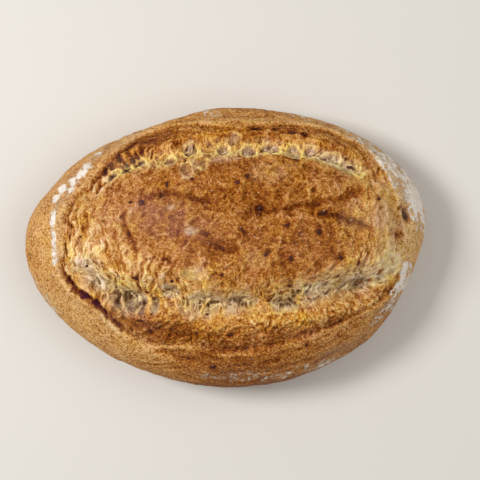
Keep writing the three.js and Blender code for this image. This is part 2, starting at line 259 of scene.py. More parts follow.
caves = [  # torn hollows of the lower tear: x, y, half length, half width, turn in degrees, depth
    (-86, -24, 11, 5.5, -28, 1.6), (-62, -37, 12, 6.5, -12, 3.6), (-45, -40, 2.6, 4.5, 5, 3.4),
    (-34, -32, 6.5, 4.2, 12, 3), (-11, -38, 13, 5.5, 6, 3.2), (13, -38.5, 11, 4, -2, 2.2),
    (41, -39.5, 10, 3.4, -4, 2.2), (62, -29, 14, 5, 8, 1.2), (92, -26, 12, 5, 18, 1.4),
]
bowls = [  # the same for the round bubbles of the upper tear
    (93, 52.5, 3.5, 2.6, -35, 1.2), (85, 56.5, 4.6, 2.8, -30, 1.6), (75, 61.5, 6.5, 3.2, -12, 2.4),
    (60, 66, 4, 3.6, 0, 2.2), (49, 65.5, 5.6, 4.6, -30, 2.8), (34, 68, 6, 3.6, -15, 2.6),
    (18, 66, 4.6, 4.3, 0, 3), (8, 74, 4.2, 3.2, 20, 1.8), (1, 67.5, 4.5, 4.2, 0, 2.8),
    (-14.5, 57, 4.6, 4.4, 0, 1.2), (-21.5, 67.5, 4.4, 4.4, 0, 2.8), (-23, 50.5, 3.4, 5.5, 10, 1.2),
    (-35, 58.5, 3.8, 3, 30, 2.2), (-56, 58.5, 4.6, 2.6, 25, 2.4), (-66, 54.5, 4, 2.4, 28, 2.6),
    (-76.5, 50.5, 3.6, 2.2, 35, 2.6),
]
hollowEdge = [(5, 0.24), (2.4, 0.18)]  # how uneven their edges are: millimetres apart, share of the oval
creases = [  # how deep and wide each groove is (below 0, a raised fold), and how much browner it bakes
    dict(depth=2.2, width=2.4, browner=0.2,
         route=[(-64, 29), (-64, 19), (-62, 11), (-58, 4), (-57, -1), (-55, -9)]),
    dict(depth=2, width=2.6, browner=0.2,
         route=[(-49, 31), (-42, 34), (-34, 35), (-25, 33), (-17, 31), (-6, 28)]),
    dict(depth=2.8, width=3.6, browner=0.14,
         route=[(8, 19), (25, 24), (45, 26), (71, 31), (86, 35), (97, 39)]),
    dict(depth=2.8, width=3.2, browner=0.18, route=[(64, 22), (75, 21), (87, 17), (102, 10)]),
    dict(depth=2.2, width=3, browner=0.14, route=[(-12, 3), (-2, 2), (5, -1), (14, -1)]),
    dict(depth=1.6, width=3, browner=0.04, route=[(-78, -42), (-62, -58), (-47, -66), (-27, -75), (-7, -79)]),
    dict(depth=1.4, width=3, browner=0.05, route=[(-40, 86), (-14, 90), (12, 91), (40, 88)]),
    dict(depth=-1, width=3, browner=0.08,
         route=[(-101, -18), (-91, -27), (-82, -32), (-73, -38), (-64, -44)]),
    dict(depth=1.8, width=2.2, browner=0.25, route=[(-88, 36), (-80, 46), (-68, 56), (-54, 66)]),
]
strands = [  # dough drawn out over the lower tear, as raised threads: from x, y to x, y, half width
    (-49.5, -24, -49.5, -46, 1.4), (-43, -25.5, -40, -44, 1.2), (26, -25, 32, -46, 1.1),
    (28, -32, 24, -44, 0.7), (-7, -35, -15, -46, 1.1), (-70, -27, -66, -43, 0.9),
    (-34, -30, -29, -44, 0.7), (55, -28, 52, -40, 0.6),
]
endPocket = dict(x=127, y=23, halfLength=4, halfWidth=8, depth=4)


def turnFrom(at, angle):
    # how far an angle in radians is from one in degrees, in degrees either way
    return (np.degrees(angle) - at + 180) % 360 - 180


def bulgeSum(angle, places):
    # the sum of a bell for each place round the loaf: at degrees, over degrees, how much
    return sum(by * bell(turnFrom(at, angle), spread) for at, spread, by in places)


def radiusOf(shape, angle):
    # radius of an ellipse, times one plus a bell for each bulge
    radius = 1 / np.hypot(np.cos(angle) / shape["halfLength"], np.sin(angle) / shape["halfWidth"])
    for bulge in shape["bulges"]:
        radius = radius * (1 + bulgeSum(angle, [bulge]))
    return radius


def stepsAlong(route, steps):
    # a smooth curve through a route: each span is a cubic, with slopes half the way between its neighbours
    corners = np.array(route, dtype=float)
    ends = np.vstack([2 * corners[0] - corners[1], corners, 2 * corners[-1] - corners[-2]])
    at = np.linspace(0, len(corners) - 1, steps + 1)
    span = np.minimum(at.astype(int), len(corners) - 2)
    t = (at - span)[:, None]
    before, start, end, after = (ends[span + i] for i in range(4))
    slopeStart, slopeEnd = 0.5 * (end - before), 0.5 * (after - start)
    return (start + slopeStart * t + (3 * (end - start) - 2 * slopeStart - slopeEnd) * t ** 2
            + (2 * (start - end) + slopeStart + slopeEnd) * t ** 3)


def placeOn(steps, x, y):
    # nearest place on a stepped curve: share of its steps, and distance, positive on its left
    share, across = np.zeros(x.shape), np.full(x.shape, np.inf)
    for i, (start, end) in enumerate(zip(steps[:-1], steps[1:])):
        alongX, alongY = end - start
        awayX, awayY = x - start[0], y - start[1]
        on = np.clip((awayX * alongX + awayY * alongY) / (alongX ** 2 + alongY ** 2), 0, 1)
        distance = np.hypot(awayX - on * alongX, awayY - on * alongY)
        side = np.where(alongX * awayY - alongY * awayX < 0, -1, 1)
        closer = distance < np.abs(across)
        share = np.where(closer, (i + on) / (len(steps) - 1), share)
        across = np.where(closer, side * distance, across)
    return share, across


def farOut(x, y, px, py, halfLength, halfWidth, turn):
    # how far out in a turned oval seen from above: 0 in its middle, 1 on its edge
    c, s = math.cos(math.radians(turn)), math.sin(math.radians(turn))
    return np.hypot(((x - px) * c + (y - py) * s) / halfLength, ((y - py) * c - (x - px) * s) / halfWidth)


def ovalSum(x, y, places, rough=0, power=4):
    # the sum of amount times exp(-out^power) over ovals, where out is farOut made uneven by a rough edge
    return sum(amount * np.exp(-np.maximum(farOut(x, y, *oval) + rough, 0) ** power)
               for *oval, amount in places)


for tear in tears:
    tear["steps"] = stepsAlong(tear["route"], 48)
for crease in creases:
    crease["steps"] = stepsAlong(crease["route"], 24)


def bellyHeight(angle):
    # height of the widest line: from the sides' to the ends' by cos^2 of the angle
    return dough["bellySide"] + (dough["bellyEnd"] - dough["bellySide"]) * np.cos(angle) ** 2


def domePoint(x, y):
    # above the widest line: belly height plus a dome, (1 - reach^n)^(1/n) of the way up to the crown
    angle = np.arctan2(y, x)
    reach = np.minimum(np.hypot(x, y) / radiusOf(dough, angle), 1)
    belly, n = bellyHeight(angle), dough["crownSquareness"]
    return np.array([x, y, belly + (dough["height"] - belly) * (1 - reach ** n) ** (1 / n)])


def tuckPoint(angle, share):
    # below the widest line: a quarter oval in to the foot
    turn, n = share * math.pi / 2, dough["footSquareness"]
    reach = radiusOf(dough, angle) * (dough["footShare"] + (1 - dough["footShare"]) * np.cos(turn) ** (2 / n))
    height = bellyHeight(angle) * (1 - np.sin(turn) ** (2 / n))
    return np.array([reach * np.cos(angle), reach * np.sin(angle), height])


def wayOut(point):
    # the way out of a plain oval body, near enough to the dough's own
    belly = bellyHeight(np.arctan2(point[1], point[0]))
    halfHeight = np.where(point[2] > belly, dough["height"] - belly, belly)
    out = np.array([point[0] / dough["halfLength"] ** 2, point[1] / dough["halfWidth"] ** 2,
                    (point[2] - belly) / halfHeight ** 2])
    return out / np.sqrt((out ** 2).sum(axis=0))


def bandsAt(point):
    # where each point lies against the lip, the tears, the creases and the hollows; the torn lip, the strands
    # and the hollows' edges wander a little
    x, y = point[0], point[1]
    lipX, lipY = x - lip["centreX"], y - lip["centreY"]
    angle = np.arctan2(lipY, lipX)
    past = np.hypot(lipX, lipY) - radiusOf(lip, angle) + noiseLayers(point, lip["wander"], 41)
    rough = noiseLayers(point, hollowEdge, 23)
    shifted = x + 1.6 * slopeNoise(point, 6, 28)
    return dict(
        lipAngle=angle, pastLip=past,
        around=np.array([100 * np.cos(angle), 100 * np.sin(angle), past]),  # patterns on it run along the rim
        crest=bulgeSum(angle, lip["crestAt"]), notch=bulgeSum(angle, lip["notchAt"]),
        tears=[placeOn(tear["steps"], x, y) for tear in tears],
        creases=[placeOn(crease["steps"], x, y) for crease in creases],
        strands=[placeOn(np.array([ends[:2], ends[2:]]), shifted, y) for *ends, _ in strands],
        caves=[farOut(x, y, *oval) + rough for *oval, _ in caves],
        bowls=[farOut(x, y, *oval) + rough for *oval, _ in bowls],
    )


def formRelief(point, bands):
    # height of lid, lip, tears, hollows and creases over the plain dough, as in the solid
    past = bands["pastLip"]
    torn = smooth(0, -lip["notchIn"], past)
    onLid = smooth(0, -lid["edge"], past)
    crestWidth = np.where(past < 0, lip["crestIn"], lip["crestOut"])
    height = bands["crest"] * lip["crestHeight"] * bell(past, crestWidth)
    height -= bands["notch"] * lip["notchDepth"] * bell(past + lip["notchIn"], lip["notchWidth"])
    for tear, (share, across) in zip(tears, bands["tears"]):
        opened = fadeEnds(share, 0.1)
        width = np.where(across < 0, tear["outerWidth"], tear["innerWidth"])
        height -= tear["depth"] * opened * bell(across, width)
        height += tear["ridgeHeight"] * opened * bell(across + tear["ridgeOut"], tear["ridgeWidth"])
        onLid = onLid * smooth(-tear["outerWidth"], lid["edge"], across)
    for (*_, depth), out in zip(caves + bowls, bands["caves"] + bands["bowls"]):
        height -= depth * np.exp(-out ** 4)
    height += lid["rise"] * onLid - lid["ringDrop"] * torn * (1 - onLid)
    for crease, (share, across) in zip(creases, bands["creases"]):
        height -= crease["depth"] * bell(across, crease["width"]) * fadeEnds(share, 0.2)
    height -= endPocket["depth"] * (bell(point[0] - endPocket["x"], endPocket["halfLength"])
                                    * bell(point[1] - endPocket["y"], endPocket["halfWidth"]))
    return height + torn * lid["cragHeight"] * valueNoise(point, lid["cragsApart"], 11), torn, onLid


# The fine surface: crags on the lid, fibres and thin strings drawn out across the tears, beads on the lower
# ridge, a web of bubbles in the crumb, threads in the hollows, and folds that run along the rim

fine = dict(
    bends=[(12, 2.6), (5, 1.1)],  # how far apart the bends of every pattern lie, and how far they move it
    crags=[(14, 0.7), (7, 0.8), (3.4, 0.5)], cragHeight=1.75,  # spacing and share; height in all
    grains=[(3.2, 1.0), (1.8, 0.7)], grainHeight=0.6,
    fibres=[((4.6, 16, 16), 1.0), ((2.4, 7, 7), 0.5)], fibreHeight=1.2,
    fibreBends=[(24, 7), (9, 3), (4, 1.0)],
    threads=[((2.8, 10, 10), 1.0)], threadHeight=0.6, strandHeight=2.4, strandFoot=0.4,
    strings=[((4.4, 26, 26), 1.0)], stringHeight=0.7,
    folds=[((26, 26, 3.4), 1.0), ((15, 15, 1.7), 0.6)], foldHeight=0.55,
    rimCrags=[(17, 1.0), (6.5, 0.4), (2.6, 0.35), (1.5, 0.25)], rimHeight=0.6,
    beadSize=(2.5, 3.8, 3.0), beadHeight=1.5,
    webSize=(4.0, 5.4, 4.6), webHeight=0.6,
    bubbleRim=0.4, bubbleRimWidth=1.1,  # millimetres
    wallAt=1.12, brimAt=0.82,  # of the way out of a bubble
    fullDepth=2.4,  # bubbles shallower than this show less
    lipJagged=1.3, lipDrop=0.9,
)
# how far inwards the lower tear's crumb shows, at each x
crumbEdge = dict(x=[-100, -48, -32, 28, 44, 115], reach=[15, 14, 7, 7.5, 16, 14])
# where each surface fades in or out: millimetres across its tear, along x or y, or past the lip; foldFront is
# the sine of the turn to the front
zoneEdges = dict(
    wander=[(11, 2.2), (4.5, 1.4)],  # how the crumb's edges stray: millimetres apart, how far
    lowOuter=(-4.5, -2.5), lowInner=(3, -3), high=(7.5, 4.5), goldLeft=(-55, -15), beadLeft=(0, 30),
    fibreLowInner=(34, 14), fibreLowOuter=(-7, -2), fibreHighOuter=(16, 6), fibreHighInner=(-14, -7),
    fibreLeft=(-45, -80), fibreTop=(45, 15), fibreRight=(75, 100), barePartLeft=(35, 60), barePart=(15, 9),
    stringInner=(38, 28), stringOuter=(3, 8), stringLeft=(10, -20), stringRight=(70, 90),
    foldTop=(52, 62), foldHigh=(-5, -9), foldFront=(0.3, 0.9), foldLip=(-9, -3),
)


def fade(name, distance):
    # the soft step between the two distances that zoneEdges gives
    return smooth(*zoneEdges[name], distance)


def zonesAt(point, bands, torn, onLid):
    # how far each kind of surface shows, from 0 to 1: a product of soft steps across the tears, x and y
    x, y = point[0], point[1]
    past, angle = bands["pastLip"], bands["lipAngle"]
    (lowShare, lowAcross), (highShare, highAcross) = bands["tears"]
    wander = noiseLayers(point, zoneEdges["wander"], 21)
    lowEnds = smooth(0, 0.04, lowShare) * smooth(1, 0.97, lowShare)
    reach = np.interp(x, crumbEdge["x"], crumbEdge["reach"])
    low = lowEnds * fade("lowOuter", lowAcross + 0.5 * wander)
    low = low * fade("lowInner", lowAcross + 1.6 * wander - reach)
    highEnds = smooth(0, 0.03, highShare) * smooth(0.95, 0.88, highShare)
    high = highEnds * fade("high", np.abs(highAcross + 0.8 * wander))
    gold = lowEnds * bell(lowAcross + 9, 6.5 - 2 * smooth(40, 80, x)) * fade("goldLeft", x)
    bead = gold * fade("beadLeft", x)
    # fibres lie beside both tears and at both ends, in places, and hardly on one bare part of the lower tear
    fibre = np.maximum.reduce([
        fade("fibreLowInner", lowAcross) * fade("fibreLowOuter", lowAcross),
        0.8 * fade("fibreHighOuter", highAcross) * fade("fibreHighInner", highAcross),
        0.9 * fade("fibreLeft", x) * fade("fibreTop", y),
        0.7 * fade("fibreRight", x),
    ]) * (1 - 0.8 * bead) * smooth(-0.5, 0.35, slopeNoise(point, 13, 27) + 0.4 * smooth(0, -30, x))
    fibre = fibre * (1 - 0.65 * fade("barePartLeft", x) * fade("barePart", np.abs(lowAcross - 2)))
    stringy = fade("stringInner", lowAcross) * fade("stringOuter", lowAcross)
    stringy = stringy * (fade("stringLeft", x) + 0.9 * fade("stringRight", x))
    fold = np.maximum(fade("foldTop", y) * fade("foldHigh", highAcross),
                      fade("foldFront", -np.sin(angle)) * fade("foldLip", past))
    cave = np.maximum.reduce([smooth(1.25, 0.75, out) for out in bands["caves"]])
    # each bubble has a pale wall round it and a shadow inside its brim; shallow ones show less
    bubbles = [(out, halfWidth, min(depth / fine["fullDepth"], 1))
               for (_, _, _, halfWidth, _, depth), out in zip(bowls, bands["bowls"])]
    bowl = np.maximum.reduce([smooth(1.05, 0.85, out) * deep ** 2 for out, _, deep in bubbles])
    wall, brim = (
        np.maximum.reduce([bell((out - at) * halfWidth, fine["bubbleRimWidth"]) * deep ** power
                           for out, halfWidth, deep in bubbles])
        for at, power in ((fine["wallAt"], 1), (fine["brimAt"], 0)))
    wall = wall * smooth(-0.7, 0.1, slopeNoise(point, 5, 26)) * (0.6 + 0.6 * smooth(-4, 1, highAcross))
    swell = 0.9 + 0.6 * slopeNoise(point, 4, 29)
    strand = np.maximum.reduce([bell(across, halfWidth * swell) * fadeEnds(share, 0.15)
                                for (*_, halfWidth), (share, across) in zip(strands, bands["strands"])])
    zones = dict(strand=strand, stringy=stringy, low=low, high=high, gold=gold, bead=bead, fibre=fibre,
                 cave=cave, bowl=bowl, brim=brim, wall=wall * (1 - bowl),
                 crumb=np.maximum(low, high), hollow=np.maximum(cave, bowl))
    zones = {name: value * torn for name, value in zones.items()}
    return dict(zones, fold=fold, torn=torn, onLid=onLid)


def fineRelief(point, bands, zones):
    # sum of each pattern's height where its zone shows
    torn, fibre, fold, crumb, hollow = (zones[k] for k in ("torn", "fibre", "fold", "crumb", "hollow"))
    bent = point + np.array([noiseLayers(point, fine["bends"], 25 + axis, 3) for axis in range(3)])
    drawn = bent.copy()
    drawn[0] += noiseLayers(point, fine["fibreBends"], 31)
    near, second, own = cells(drawn + 0.5 * (bent - point), fine["webSize"], 47)
    pattern = dict(
        crags=ridges(bent, fine["crags"], 50),
        grains=noiseLayers(bent, fine["grains"], 85),
        fibres=ridges(drawn, fine["fibres"], 60),
        folds=ridges(bands["around"] + 0.3 * (bent - point), fine["folds"], 65),
        rimCrags=ridges(bent, fine["rimCrags"], 70),
        beads=1 - 1.7 * cells(drawn, fine["beadSize"], 46)[0],
        threads=smooth(0.5, 0.95, ridges(drawn, fine["threads"], 75)) - 0.3,
        strings=smooth(0.3, 0.85, ridges(drawn, fine["strings"], 90)) - 0.3,
        web=1 - smooth(0.03, 0.3, second - near), webOwn=own,
    )
    plainTop = torn * (1 - 0.5 * fibre) * (1 - 0.6 * crumb) * (1 - 0.7 * zones["bead"]) * (1 - 0.5 * fold)
    height = sum(fine[name + "Height"] * shown * relief for name, shown, relief in (
        ("crag", plainTop, pattern["crags"]),
        ("grain", plainTop, pattern["grains"]),
        ("fibre", fibre * (1 - 0.6 * hollow), pattern["fibres"]),
        ("fold", fold * (1 - 0.8 * crumb), pattern["folds"]),
        ("bead", zones["bead"], pattern["beads"]),
        ("web", crumb * (1 - 0.8 * hollow), pattern["web"] - 0.55),
        ("thread", zones["cave"], pattern["threads"]),
        ("string", zones["stringy"], pattern["strings"]),
        ("strand", zones["strand"], zones["cave"]),
        ("rim", (1 - torn) * (1 - 0.5 * fold), pattern["rimCrags"]),
    ))
    past, notch = bands["pastLip"], bands["notch"]
    height += fine["bubbleRim"] * zones["wall"] + fine["strandFoot"] * zones["strand"]
    height -= fine["lipDrop"] * np.clip(notch, 0, 1) * smooth(0.5, -0.5, past) * smooth(-8, -4, past)
    height += fine["lipJagged"] * notch * bell(past + 2, 2.2) * slopeNoise(point, 3.2, 40)
    return height, pattern


# Where the seeds lie in the crust, which is smoother round each and darker there by a painted shadow

seedSizes = dict(
    halfLength=2.4, halfWidth=1.3, halfThick=0.95, narrowing=0.28, sunk=0.4,
    clear=3.2,  # how far round a seed the crust is smoother
    smoother=0.75,  # the share of the fine relief lost there
    sides=12, bands=9,
)
placedSeeds = [  # x, y
    (25, 26), (65, 22), (63, 10), (77, -6), (45, -7), (29, -4), (-57, -20), (89, -10), (104, 32), (17, 46),
    (10, 42), (47, 78), (88, 57),
]
scatteredSeeds = dict(count=24, seed=29, reach=0.86, apart=12, smallest=0.75)


def drawFrom(seed):
    # a repeatable draw of numbers from 0 to 1, each worked out from the one before
    state = seed
    while True:
        state = (state * 1664525 + 1013904223) % 2 ** 32
        yield state / 2 ** 32


def seedPlaces():
    # the placed seeds, then scattered ones that keep clear of each other: x, y, turn, size
    draw = drawFrom(scatteredSeeds["seed"])
    places = [(x, y, next(draw) * math.pi, 1) for x, y in placedSeeds]
    while len(places) < len(placedSeeds) + scatteredSeeds["count"]:
        angle = next(draw) * 2 * math.pi
        reach = scatteredSeeds["reach"] * math.sqrt(next(draw)) * float(radiusOf(dough, np.array(angle)))
        x, y, turn = reach * math.cos(angle), reach * math.sin(angle), next(draw) * math.pi
        size = scatteredSeeds["smallest"] + (1 - scatteredSeeds["smallest"]) * next(draw)
        if all(math.hypot(p[0] - x, p[1] - y) > scatteredSeeds["apart"] for p in places):
            places.append((x, y, turn, size))
    return np.array(places).T


seeds = seedPlaces()


def crustPoint(plain):
    # a point of the plain dough moved out by lumps, form and fine relief, with what the colours need
    bands = bandsAt(plain)
    belly = bellyHeight(np.arctan2(plain[1], plain[0]))
    onTop = smooth(belly, belly + dough["formFade"], plain[2])
    form, torn, onLid = formRelief(plain, bands)
    zones = zonesAt(plain, bands, torn * onTop, onLid * onTop)
    small, pattern = fineRelief(plain, bands, zones)
    nearSeed = [bell(np.hypot(plain[0] - x, plain[1] - y), seedSizes["clear"]) for x, y, _, _ in seeds.T]
    small = small * (1 - seedSizes["smoother"] * np.maximum.reduce(nearSeed))
    height = dough["lumpHeight"] * valueNoise(plain, dough["lumpsApart"], 3)
    height = height * smooth(0, dough["lumpFade"], plain[2])
    height += onTop * form + small * smooth(0, dough["fineFade"], plain[2])
    # the last field is a painted shadow round each seed, stronger round larger seeds
    fields = dict(bands=bands, zones=zones, pattern=pattern, height=onTop * form + small, plain=plain,
                  stain=sum(size ** 6 * near ** 2 for near, size in zip(nearSeed, seeds[3])))
    return plain + wayOut(plain) * height, fields


# The crust's two meshes meet in the notch inside the lip: a square grid pressed into a disc for the torn top,
# and rings over the lip, the rim and the foot. Hidden rings below close each of them.

net = dict(
    half=154,  # grid steps from the torn top's middle to its edge
    lipStep=0.75, lipSteps=11,  # rings over the lip, millimetres apart
    rimRings=42, tuckRings=22,
    hiddenRings=(0.95, 0.7, 0.4, 0.15), footRings=(0.9, 0.72, 0.5, 0.25),  # shares of the way out
    topSkirt=4, topDrop=18, rimSkirt=8, rimDrop=26,  # how far down the hidden rings lie
)


def pressedGrid():
    # each square ring of the grid becomes a ring round the lip's middle: its share of the way out is the
    # larger of the two grid shares, and its turn runs evenly along each side
    steps = np.linspace(-1, 1, 2 * net["half"] + 1)
    across, up = (v.ravel() for v in np.meshgrid(steps, steps))
    turn = np.arctan2(up, across)
    side = np.round(turn / (math.pi / 2)) * math.pi / 2
    return np.maximum(np.abs(across), np.abs(up)), side + np.tan(turn - side) * math.pi / 4


def gridIndex():
    # the number of each point of the grid
    n = 2 * net["half"] + 1
    return np.arange(n * n).reshape(n, n)


def gridBorder():
    # the grid's border points in order of turn, starting at the right lower corner
    index = gridIndex()
    return np.concatenate([index[:-1, -1], index[-1, :0:-1], index[:0:-1, 0], index[0, :-1]])


def inLip(share, angle, further=0.0):
    # the plain dough's point at a share of the way from the lip's middle to the notch
    radius = share * (radiusOf(lip, angle) - lip["notchIn"]) + further
    return domePoint(lip["centreX"] + radius * np.cos(angle), lip["centreY"] + radius * np.sin(angle))


def band(inner, outer):
    # quads between two closed rings with the same number of points
    return np.stack([inner, outer, np.roll(outer, -1), np.roll(inner, -1)], axis=-1)


def halve(inner, outer):
    # three faces for each step of the outer ring, which has half as many points as the inner one
    first, middle, last = inner[::2], inner[1::2], np.roll(inner[::2], -1)
    nextOuter = np.roll(outer, -1)
    return np.concatenate([np.stack([first, outer, middle], axis=-1),
                           np.stack([middle, outer, nextOuter], axis=-1),
                           np.stack([middle, nextOuter, last], axis=-1)])


def closeOver(points, border, ringPoints):
    # from a border ring to a middle point, by rings of half as many points each; ringPoints holds plain rings
    added, faces, last, start = [], [], border, points.shape[1]
    for ring in ringPoints:
        ring = ring[:, ::ring.shape[1] // (len(last) // 2)]
        new = start + np.arange(ring.shape[1])
        faces.append(halve(last, new))
        added.append(ring)
        start, last = start + ring.shape[1], new
    added.append(added[-1].mean(axis=1)[:, None])
    faces.append(np.stack([last, np.roll(last, -1), np.full(len(last), start)], axis=-1))
    return np.concatenate([points] + added, axis=1), np.concatenate(faces)


def lowered(points, by):
    # straight down
    return points - np.array([[0], [0], [by]])


def buildTop():
    # the torn top out to the notch, closed by a short skirt and hidden rings
    share, angle = pressedGrid()
    top, fields = crustPoint(inLip(share, angle))
    index, border = gridIndex(), gridBorder()
    quads = np.stack([index[:-1, :-1], index[:-1, 1:], index[1:, 1:], index[1:, :-1]], axis=-1).reshape(-1, 4)
    skirt = top.shape[1] + np.arange(len(border))
    points = np.concatenate([top, lowered(top[:, border], net["topSkirt"])], axis=1)
    under = [lowered(inLip(s, angle[border]), net["topDrop"]) for s in net["hiddenRings"]]
    points, tris = closeOver(points, skirt, under)
    return points, [quads, band(border, skirt), tris], fields, index.shape


def insideBelly(point, most=0.93):
    # past a share of the way to the widest line, steps shrink by an exponential so that none crosses it
    reach = np.hypot(point[0], point[1]) / radiusOf(dough, np.arctan2(point[1], point[0]))
    kept = np.where(reach > most, 1 - (1 - most) * np.exp((most - reach) / (1 - most)), reach)
    return domePoint(point[0] * kept / reach, point[1] * kept / reach)


def buildRim():
    # rings from the notch over lip and rim to the foot, closed below, and a hidden well under the top
    angle = pressedGrid()[1][gridBorder()]
    over = [insideBelly(inLip(1.0, angle, net["lipStep"] * i)) for i in range(net["lipSteps"] + 1)]
    last = over[-1]
    turn = np.arctan2(last[1], last[0])
    belly, n = radiusOf(dough, turn), dough["crownSquareness"]
    startTurn = np.arcsin(np.minimum(np.hypot(last[0], last[1]) / belly, 1) ** (n / 2))
    for past in np.arange(1, net["rimRings"] + 1) / net["rimRings"]:
        reach = belly * np.sin(startTurn + (math.pi / 2 - startTurn) * past) ** (2 / n)
        over.append(domePoint(reach * np.cos(turn), reach * np.sin(turn)))
    over += [tuckPoint(turn, down) for down in np.arange(1, net["tuckRings"] + 1) / net["tuckRings"]]
    rim, fields = crustPoint(np.concatenate(over, axis=1))
    rings = np.arange(rim.shape[1]).reshape(len(over), -1)
    rim[2, rings[-1]] = 0
    quads = np.concatenate([band(rings[i], rings[i + 1]) for i in range(len(rings) - 1)])
    foot = rim[:, rings[-1]]
    points, base = closeOver(rim, rings[-1], [foot * [[s], [s], [0]] for s in net["footRings"]])
    inside = points.shape[1] + np.arange(len(angle))
    points = np.concatenate([points, lowered(rim[:, rings[0]], net["rimSkirt"])], axis=1)
    under = [lowered(inLip(s, angle), net["rimDrop"]) for s in net["hiddenRings"]]
    points, well = closeOver(points, inside, under)
    return points, [quads, base, band(inside, rings[0]), well[:, ::-1]], fields, rings.shape


# name, which axes of its grid are closed, points, faces, fields and the grid's shape
crusts = [("tornTop", (), *buildTop()), ("rimCrust", (1,), *buildRim())]
low = np.minimum.reduce([points.min(axis=1) for _, _, points, *_ in crusts])
high = np.maximum.reduce([points.max(axis=1) for _, _, points, *_ in crusts])
restLow, restHigh = (np.array(corner) / millimetre for corner in rest)


def fitted(points):
    # the same slight move and stretch for every piece, so that the crust fills the solid's box
    return restLow[:, None] + (points - low[:, None]) * ((restHigh - restLow) / (high - low))[:, None]


print("crust shaped")


# Browning of the crust, painted light and shade on its relief, and where crumb, flour and burnt edges show

browning = dict(
    rim=0.36, island=0.58, ring=0.545,  # levels from 0 to 1: on the rim, on the lid and on the ring round it
    # how much browner each of these is; ringShade and the ring round each seed are painted shade
    browner=dict(foot=0.1, crumb=0.05, skin=0.08, blotches=0.05, ringShade=0.22, paintedSeedShadow=0.32, ochre=0.22,
                 char=0.2, upperLeft=0.05),
    # how much paler the crust is beside each tear, and on the crests of each pattern;
    # the paleness on crests is painted light, which leaves the hollows between them darker as painted shade
    paler=dict(lowTear=0.16, highTear=0.12, gold=0.2, crags=0.06, grains=0.05, fibres=0.12, leftFibres=0.08,
               upperLeftFibres=0.3, beads=0.3, folds=0.12, rimCrags=0.06, proud=0.12, web=0.2, wall=0.2,
               strings=0.2, strand=0.12, lipCrest=0.04, bubbles=0.05, all=0.03),
    # at degrees, over degrees, how much: on the rim, just inside the lip as painted shade, and where the torn
    # edge is burnt;
    # the paler right end of the rim is partly its own paler crust and partly painted light on the side away
    # from the key lamp
    rimPlaces=[(272, 30, 0.24), (316, 23, 0.1), (338, 7, 0.12), (85, 35, 0.08), (207, 14, -0.06),
               (5, 30, -0.13)],
    ringShade=[(318, 26, 0.1), (275, 22, 0.08), (145, 17, 0.45)],
    burnt=[(201, 8, 0.75), (216, 12, 0.7), (256, 8, 0.35), (274, 10, 0.2), (145, 22, 0.12)],
    # shades along the torn edge: millimetres out of the lip, over millimetres, then the same three
    edgeShade=[(6, 8, 243, 20, 0.02), (-6.5, 1.8, 207, 12, -0.25), (-2.8, 2.2, 229, 15, -0.22),
               (-2.8, 1.2, 288, 11, 0.12), (-2.8, 2.2, 262, 22, -0.14)],
    patches=[  # x, y, half length, half width, how much browner, how much ruddier
        (-98, 5, 26, 40, -0.16, -0.1), (-70, 15, 22, 30, -0.1, 0.1), (-36, 18, 28, 16, -0.05, 0.5),
        (20, 35, 40, 14, 0.02, -0.1), (55, 0, 30, 12, 0.02, 0.2), (0, 7, 34, 12, 0.05, 0.1),
        (14, -51, 14, 7, 0.08, 0), (106, 47, 9, 14, -0.1, 0), (105, 5, 24, 40, -0.17, -0.2),
        (-60, -52, 18, 7, 0.14, 0.3), (-37, -51, 18, 6.5, 0.07, 0.2), (112, -31, 10, 5, 0.3, 0.2),
        (52, -60, 18, 5, 0.08, 0.25), (77, -51, 14, 5, 0.06, 0.25), (-72, 62, 13, 7, 0.16, 0.45),
        (112, 28, 13, 22, -0.14, -0.2), (118, -3, 10, 12, -0.1, 0), (119, 9, 11, 3, 0.32, 0.1),
        (-50, 73, 16, 7, 0.06, 0.1), (-14, -14, 9, 8, -0.1, 0.1), (-52, -8, 9, 8, -0.14, 0.2),
        (117, -12, 16, 18, -0.12, -0.2), (20, -12, 14, 8, -0.04, 0), (-40, 22, 22, 12, 0.02, 0.4),
        (0, 26, 24, 10, -0.03, -0.1), (-5, 74, 24, 7, 0.06, 0), (91, -8, 10, 8, -0.08, 0),
        (-28, -62, 14, 6, 0.08, 0), (-28, -53, 15, 8, 0.07, 0), (-98, -13, 13, 10, 0.1, 0.1),
        (-38, -13, 15, 12, -0.09, 0), (-3, -21, 9, 7, -0.1, 0), (50, 46, 11, 8, -0.1, 0),
        (77, 32, 9, 8, -0.08, 0), (90, 18, 9, 7, 0.07, 0), (-77, 19, 14, 9, 0.08, 0.1),
        (-70, 4, 8, 8, -0.08, 0), (-16, 10, 13, 14, 0.02, 0.25),
    ],
)
